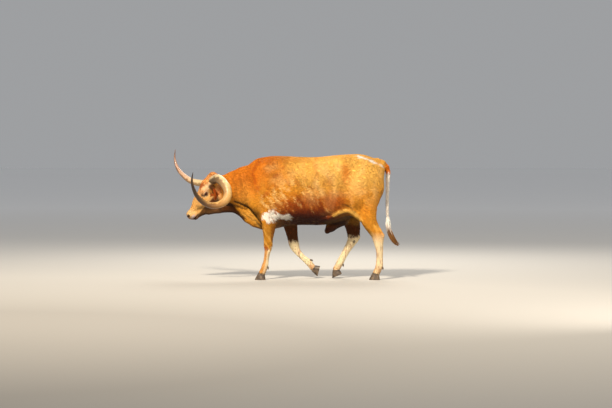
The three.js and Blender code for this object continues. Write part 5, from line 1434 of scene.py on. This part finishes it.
def horn_material():
    """Horn in its painted tones, speckled and rough near the base, clear and smooth towards the tip."""
    made, tree, shader = material("horn", "#D8C090", 0.38)
    along = node(tree, "ShaderNodeUVMap", uv_map="along").outputs[0]
    share = node(tree, "ShaderNodeSeparateXYZ", {0: along}).outputs["X"]
    place = node(tree, "ShaderNodeTexCoord").outputs["Object"]
    tone = node(tree, "ShaderNodeAttribute", attribute_name="hair_colour").outputs["Color"]
    dirt = spread(tree, noise(tree, place, 55.0, 6.0, 0.7), 0.47, 0.66)
    amount = reckon(tree, "MULTIPLY", dirt, spread(tree, share, 0.45, 0.0, 0.3, 0.9))
    mixed = {"Factor": amount, 6: tone, 7: (*linear("#4A3824"), 1)}
    dirty = node(tree, "ShaderNodeMix", mixed, data_type="RGBA").outputs[2]
    cloud = spread(tree, noise(tree, place, 9.0, 3.0), 0.35, 0.7, 0.86, 1.08)
    tree.links.new(toned(tree, dirty, cloud), shader.inputs["Base Color"])
    tree.links.new(spread(tree, share, 0.0, 1.0, 0.52, 0.28), shader.inputs["Roughness"])
    streaks = noise(tree, stretched(tree, along, (6.0, 60.0, 1.0)), 2.0, 5.0)
    raise_surface(tree, shader, streaks, 0.35, 0.002)
    shader.inputs["Coat Weight"].default_value = 0.15
    return made


HORN_FINISH = horn_material()


def tube_faces(rings, sides, inward=False):
    """Triangles of a closed tube: rings of corners, then one point at its start and one at its end."""
    i = np.arange(sides)
    j = (i + 1) % sides
    low = (np.arange(rings - 1) * sides)[:, None]
    quads = np.stack([low + i, low + j, low + sides + j, low + sides + i], -1).reshape(-1, 4)
    last = (rings - 1) * sides
    start = np.stack([j, i, np.full(sides, rings * sides)], 1)
    end = np.stack([last + i, last + j, np.full(sides, rings * sides + 1)], 1)
    faces = np.vstack([triangles_of(quads), start, end])
    return faces[:, ::-1] if inward else faces


def horn_piece(name, rows):
    """A horn round its curved line: growth rings ripple its radius near the base and fade to the tip."""
    line, at = curve_through(rows, HORN_RINGS)
    share = at / at[-1]
    tangent, across, over = frames_along(line[:, :3])
    ripple = 1.1 * np.sin(at / 3.6 + 1.5 * np.sin(at / 31)) * smooth((0.35 - share) / 0.3)
    swell = 1.4 * np.sin(at / 27 + np.sin(at / 61)) * smooth((0.8 - share) / 0.5)
    turn = np.arange(HORN_SIDES) / HORN_SIDES * 2 * np.pi
    flute = 0.5 * np.sin(turn * 5 + 1)[None] * (1 - share)[:, None]
    radius = np.maximum(line[:, 3] + ripple + swell, 2.0)[:, None] + flute
    points = (
        line[:, None, :3]
        + (np.cos(turn)[None] * radius)[..., None] * across[:, None]
        + (np.sin(turn)[None] * radius)[..., None] * over[:, None]
    )
    colours = horn_colours(name, share, line[:, :3], points)
    colours = np.vstack([colours, colours[:1], colours[-1:]])
    points = np.vstack([points.reshape(-1, 3), line[0, :3], line[-1, :3] + tangent[-1] * 2.5])
    along = np.stack(np.meshgrid(share, turn / (2 * np.pi), indexing="ij"), -1).reshape(-1, 2)
    along = np.vstack([along, [(0, 0), (1, 0)]])
    faces = tube_faces(HORN_RINGS, HORN_SIDES)
    made = mesh_piece(name + "_keratin", points, faces, HORN_FINISH, colours, along, "along")
    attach(made, "root")
    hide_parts(name)


for name, rows in HORNS.items():
    horn_piece(name, rows)

# Eyes
# Dark brown glass eyes with a dark pupil and a clear bulging cornea, set deep between the lids.

eye_finish, eye_tree, eye_shader = material("eye", "#1A0D07", 0.2)
eye_shader.inputs["Specular IOR Level"].default_value = 0.3
eye_shader.inputs["Coat Weight"].default_value = 0.08
eye_shader.inputs["Coat Roughness"].default_value = 0.05
eye_place = node(eye_tree, "ShaderNodeUVMap", uv_map="gaze").outputs[0]
eye_angle = node(eye_tree, "ShaderNodeSeparateXYZ", {0: eye_place}).outputs["X"]
eye_level = reckon(eye_tree, "MULTIPLY", eye_angle, noise(eye_tree, eye_place, 40.0, 4.0))
EYE_TONES = [(0.0, "#0C0504"), (0.12, "#160806"), (0.2, "#5A2216"), (0.42, "#38140C"), (0.5, "#4A2018")]
eye_tree.links.new(ramp(eye_tree, eye_level, EYE_TONES), eye_shader.inputs["Base Color"])


def eye_piece(name, side):
    """An eyeball of rings round its gaze, with a bulge at the cornea. UV x is the angle from the gaze."""
    rings, sides, bulge = 28, 40, 0.06
    centre = out_of_head((EYE_AT[0], EYE_AT[2] * side, EYE_AT[1]))
    gaze = HEAD_AXES @ np.array([0.1, 1.0 * side, 0.12])
    gaze /= np.linalg.norm(gaze)
    across = np.cross(gaze, HEAD_AXES[:, 2])
    across /= np.linalg.norm(across)
    over = np.cross(gaze, across)
    angle = np.linspace(0.02, np.pi - 0.02, rings)[:, None]
    turn = (np.arange(sides) / sides * 2 * np.pi)[None]
    radius = EYE_RADIUS * (1 + bulge * smooth((0.75 - angle) / 0.5)) + 0 * turn
    off = radius * np.sin(angle)
    level = np.stack([radius * np.cos(angle), off * np.cos(turn), off * np.sin(turn)], -1)
    points = (centre + level @ np.array([gaze, across, over])).reshape(-1, 3)
    points = np.vstack([points, centre + gaze * EYE_RADIUS * (1 + bulge), centre - gaze * EYE_RADIUS])
    where = np.stack(np.broadcast_arrays(angle / np.pi * 2, turn / (2 * np.pi)), -1).reshape(-1, 2)
    where = np.vstack([where, [(0, 0), (2, 0)]])
    faces = tube_faces(rings, sides, inward=True)
    made = mesh_piece(name + "_glass", points, faces, eye_finish, uv=where, map_name="gaze")
    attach(made, "root")
    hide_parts(name)


eye_piece("eye_left", 1)
eye_piece("eye_right", -1)

# Hooves
# Two claws of dark horn on each foot, flat-soled and ringed by growth.

CLAW = dict(slit=7, height=72, toe=84, heel=46, top_front=38, top_back=39, top_width=43, sole_width=53)
CORONET_SLOPE = math.tan(math.radians(18))
hoof_finish, hoof_tree, hoof_shader = material("hoof", "#4A3B2E", 0.5)
hoof_place = node(hoof_tree, "ShaderNodeTexCoord").outputs["Object"]
HOOF_TONES = [(0.3, "#2C231B"), (0.5, "#4F4032"), (0.7, "#7A6650")]
hoof_tone = ramp(hoof_tree, noise(hoof_tree, hoof_place, 30.0, 6.0), HOOF_TONES)
hoof_tree.links.new(hoof_tone, hoof_shader.inputs["Base Color"])
raise_surface(hoof_tree, hoof_shader, noise(hoof_tree, hoof_place, 260.0, 4.0), 0.4, 0.001)


def claw_piece(name, leg, outward):
    """One claw: rings that widen from the coronet to the sole, drawn out to a toe, with growth ripples."""
    rings, sides = 24, 40
    t = np.linspace(0, 1, rings)[:, None]
    turn = (np.arange(sides) / sides * 2 * np.pi)[None]
    forward, sideways = np.sin(turn) + 0 * t, np.cos(turn) + 0 * t
    front = CLAW["top_front"] + (CLAW["toe"] - CLAW["top_front"]) * t
    back = CLAW["top_back"] + (CLAW["heel"] - CLAW["top_back"]) * t
    width = CLAW["top_width"] + (CLAW["sole_width"] - CLAW["top_width"]) * smooth(t)
    ripple = 0.5 * np.sin(t * 52) * smooth(t * 8) * smooth((1 - t) * 8)
    f = forward * (np.where(forward > 0, front, back) + ripple - 1)
    taper = 1 - 0.45 * np.maximum(forward, 0) ** 2 * t
    l = CLAW["slit"] / 2 + (width / 2) * (1 + np.sign(sideways) * np.abs(sideways) ** 0.8) * taper
    down = (CORONET_SLOPE * f) * (1 - t) - CLAW["height"] * t
    x, z, pitch = leg["foot"]
    c, s = math.cos(math.radians(-pitch)), math.sin(math.radians(-pitch))
    across = leg["chain"][-1][1] * leg["side"]
    points = np.stack([x - f * c + down * s, across + l * outward, z + f * s + down * c], -1)
    points[..., 2] = np.maximum(points[..., 2], 0)
    points = np.vstack([points.reshape(-1, 3), points[[0, -1]].mean(1)])
    made = mesh_piece(name + "_horn", points, tube_faces(rings, sides, outward < 0), hoof_finish)
    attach(made, "root")
    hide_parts(name)


for name, leg in LEGS.items():
    for outward in (LEFT, RIGHT):
        place = "outer" if outward * leg["side"] > 0 else "inner"
        claw_piece(f"claw_{name}_{place}", leg, outward)


def dewclaw_piece(name, leg):
    """The two small horny claws behind a fetlock, each a blunt tapered form that curves down its back."""
    x, across, z, reach, _ = leg["chain"][-3]
    down = np.array([leg["chain"][-1][0] - x, 0, leg["chain"][-1][2] - z], float)
    down /= np.linalg.norm(down)
    behind = np.array([-down[2], 0, down[0]])
    out, along = reach + np.array([-16.0, -2, 7, 12, 13]), np.array([-6.0, -3, 5, 16, 25])
    line = (x, across * leg["side"], z) + out[:, None] * behind + along[:, None] * down
    apart = np.array([15.0, 17, 19, 20, 20])
    paths = np.stack([line + apart[:, None] * (0, outward, 0) for outward in (LEFT, RIGHT)])
    half = np.tile([9.5, 10.5, 9, 6], (2, 1))
    points, faces = locks(paths, np.array([[[0.0, 1, 0]]] * 2), half, half * 0.85, 16)
    made = mesh_piece(f"dewclaws_{name}", points, faces, hoof_finish)
    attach(made, "root")


for name, leg in LEGS.items():
    dewclaw_piece(name, leg)

# Tail switch
# Long loose hair that hangs from the tail's end in tapered locks, white at the root and brown below,
# swung back as the animal walks.

SWITCH_LINE = [
    (1212, 0, 790),
    (1213, 0, 742),
    (1219, 0, 672),
    (1230, 0, 584),
    (1264, 0, 502),
    (1308, 0, 436),
    (1356, 0, 394),
]
SWITCH_LOCKS, SWITCH_STEPS = 420, 200
long_hair = hair_material("long_hair", 0.5, 0.0, 0.5)


def long_piece(name, paths, outward, half_width, half_thick, colours, roots):
    """A piece of long locks, with a colour along each and its UV patches."""
    points, faces = locks(paths, outward, half_width, half_thick, 4)
    rings = paths.shape[1] - 1
    shades = np.concatenate([np.repeat(colours[:, :-1], 4, axis=1), colours[:, -1:]], 1)
    made = mesh_piece(name, points, faces, long_hair, shades.reshape(-1, 3), patches(roots, rings, 4))
    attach(made, "root")
    return made


def switch_piece():
    """Locks that leave the tail's line at staggered heights, spread from it and come together at the tip."""
    line, _ = curve_through(SWITCH_LINE, SWITCH_STEPS)
    tangent = np.gradient(line, axis=0)
    tangent /= np.linalg.norm(tangent, axis=1, keepdims=True)
    steps = np.linspace(0, 1, 9)
    start = random.uniform(0.0, 0.62, SWITCH_LOCKS)
    end = np.minimum(0.995, start + random.uniform(0.3, 0.5, SWITCH_LOCKS))
    place = start[:, None] + (end - start)[:, None] * steps
    turn = random.uniform(0, 2 * np.pi, SWITCH_LOCKS)
    wave = random.normal(0, 1, (SWITCH_LOCKS, 2))
    index = np.clip((place * (SWITCH_STEPS - 1)).astype(int), 0, SWITCH_STEPS - 1)
    centre, way = line[index], tangent[index]
    side = np.array([0.0, 1.0, 0.0])
    over = np.cross(way, side)
    bulge = np.sin(np.pi * np.clip(0.12 + 0.7 * place, 0, 1))
    reach = (8 + 26 * bulge) * (0.35 + 0.65 * smooth(steps * 2.2))
    reach = reach * random.uniform(0.3, 1.0, (SWITCH_LOCKS, 1))
    sway = 5 * np.sin(steps * 5 + wave[:, :1] * 3) * steps
    paths = centre + side * (np.cos(turn)[:, None] * reach + sway)[..., None]
    paths = paths + over * (np.sin(turn)[:, None] * reach)[..., None]
    outward = (side * np.cos(turn)[:, None] + np.array([1.0, 0, 0.1]) * np.sin(turn)[:, None])[:, None] + 0.01
    taper = np.array([0.5, 0.85, 1.0, 1.0, 0.9, 0.72, 0.5, 0.28])
    half = 3.4 * taper * random.uniform(0.7, 1.3, (SWITCH_LOCKS, 1))
    brown = smooth((640 - paths[..., 2] + random.normal(0, 26, (SWITCH_LOCKS, 1))) / 90)[..., None]
    colours = WHITE * (1 - brown) + SWITCH_BROWN * brown
    colours = colours * random.normal(1, 0.14, (SWITCH_LOCKS, 1, 1))
    made = long_piece("switch_hair", paths, outward, half, half * 0.45, colours, paths[:, 0])
    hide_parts("tail_switch")


switch_piece()

# Long hair of poll and ears
# Curly rust-red locks over the poll between the horns, and a fringe of dark orange hair inside each ear.

POLL_LOCKS, FRINGE_LOCKS = 900, 170


def poll_curls():
    """Curled locks rooted over the poll and forehead, each bent sideways as it runs down the face."""
    spots, normals = scatter(POLL_LOCKS * 60, np.where(on_head, 1.0, 0.0))
    h = into_head(spots)
    keep = (h[:, 0] < 120) & (h[:, 0] > -40) & (h[:, 2] > -20) & (np.abs(h[:, 1]) < 85)
    spots, normals = spots[keep][:POLL_LOCKS], normals[keep][:POLL_LOCKS]
    count = len(spots)
    way = lie_of_coat(spots) + random.normal(0, 0.5, (count, 3))
    way -= normals * (way * normals).sum(1, keepdims=True)
    way /= np.linalg.norm(way, axis=1, keepdims=True)
    side = np.cross(normals, way)
    steps = np.linspace(0, 1, 7)
    length = random.uniform(16, 30, (count, 1))
    bend = random.normal(0, 0.5, (count, 1))
    lift = 2.6 * np.sin(steps * np.pi * 0.9) + 1.2 * steps - 1
    paths = (
        spots[:, None]
        + way[:, None] * (length * steps)[..., None]
        + side[:, None] * (length * bend * steps**2 + 3 * np.sin(steps * 7))[..., None]
        + normals[:, None] * lift[None, :, None]
    )
    taper = np.array([0.6, 1.0, 1.0, 0.85, 0.6, 0.35])
    half = 2.6 * taper * random.uniform(0.7, 1.3, (count, 1))
    shade = random.normal(1.0, 0.16, (count, 1, 1)) * np.linspace(0.8, 1.15, 7)[None, :, None]
    tint = random.uniform(0, 1, (count, 1, 1)) ** 2
    colours = ((RUST * 0.5 + DEEP * 0.5) * (1 - tint) + STRAW * tint) * shade
    long_piece("poll_hair", paths, normals[:, None], half, half * 0.4, colours, spots)


def ear_fringe(name, root, axes, length):
    """Dark orange locks rooted along the cup's lower wall and rim, leaning out across its mouth."""
    along = random.uniform(0.22, 0.9, FRINGE_LOCKS)
    edge = np.sqrt(np.clip(1 - (along * 2 - 1) ** 2, 0, 1)) * (EAR_WIDTH - 6)
    row = random.choice([-1.0, 1.0], FRINGE_LOCKS)
    aside = row * edge * random.uniform(0.75, 1.0, FRINGE_LOCKS)
    start = np.stack([along * length, aside, np.full(FRINGE_LOCKS, 0.0)], 1)
    reach = random.uniform(18, 34, (FRINGE_LOCKS, 1))
    steps = np.linspace(0, 1, 6)
    lean = np.stack([np.full(FRINGE_LOCKS, 0.6), -row * 0.35, np.full(FRINGE_LOCKS, 0.5)], 1)
    lean = lean + random.normal(0, 0.15, (FRINGE_LOCKS, 3))
    local = start[:, None] + lean[:, None] * (reach * steps)[..., None]
    local[..., 2] -= 8 * steps**2
    paths = out_of_head((local @ axes + root).reshape(-1, 3)).reshape(FRINGE_LOCKS, 6, 3)
    outward = np.tile(HEAD_AXES @ axes[2], (FRINGE_LOCKS, 1))[:, None]
    taper = np.array([0.7, 1.0, 0.9, 0.65, 0.35])
    half = 1.5 * taper * random.uniform(0.7, 1.3, (FRINGE_LOCKS, 1))
    colours = np.tile(DEEP, (FRINGE_LOCKS, 6, 1)) * random.normal(0.6, 0.3, (FRINGE_LOCKS, 1, 1))
    long_piece(name, paths, outward, half, half * 0.4, colours, paths[:, 0])


poll_curls()
for name, (root, axes, length) in EARS.items():
    ear_fringe(f"ear_fringe_{name}", root, axes, length)
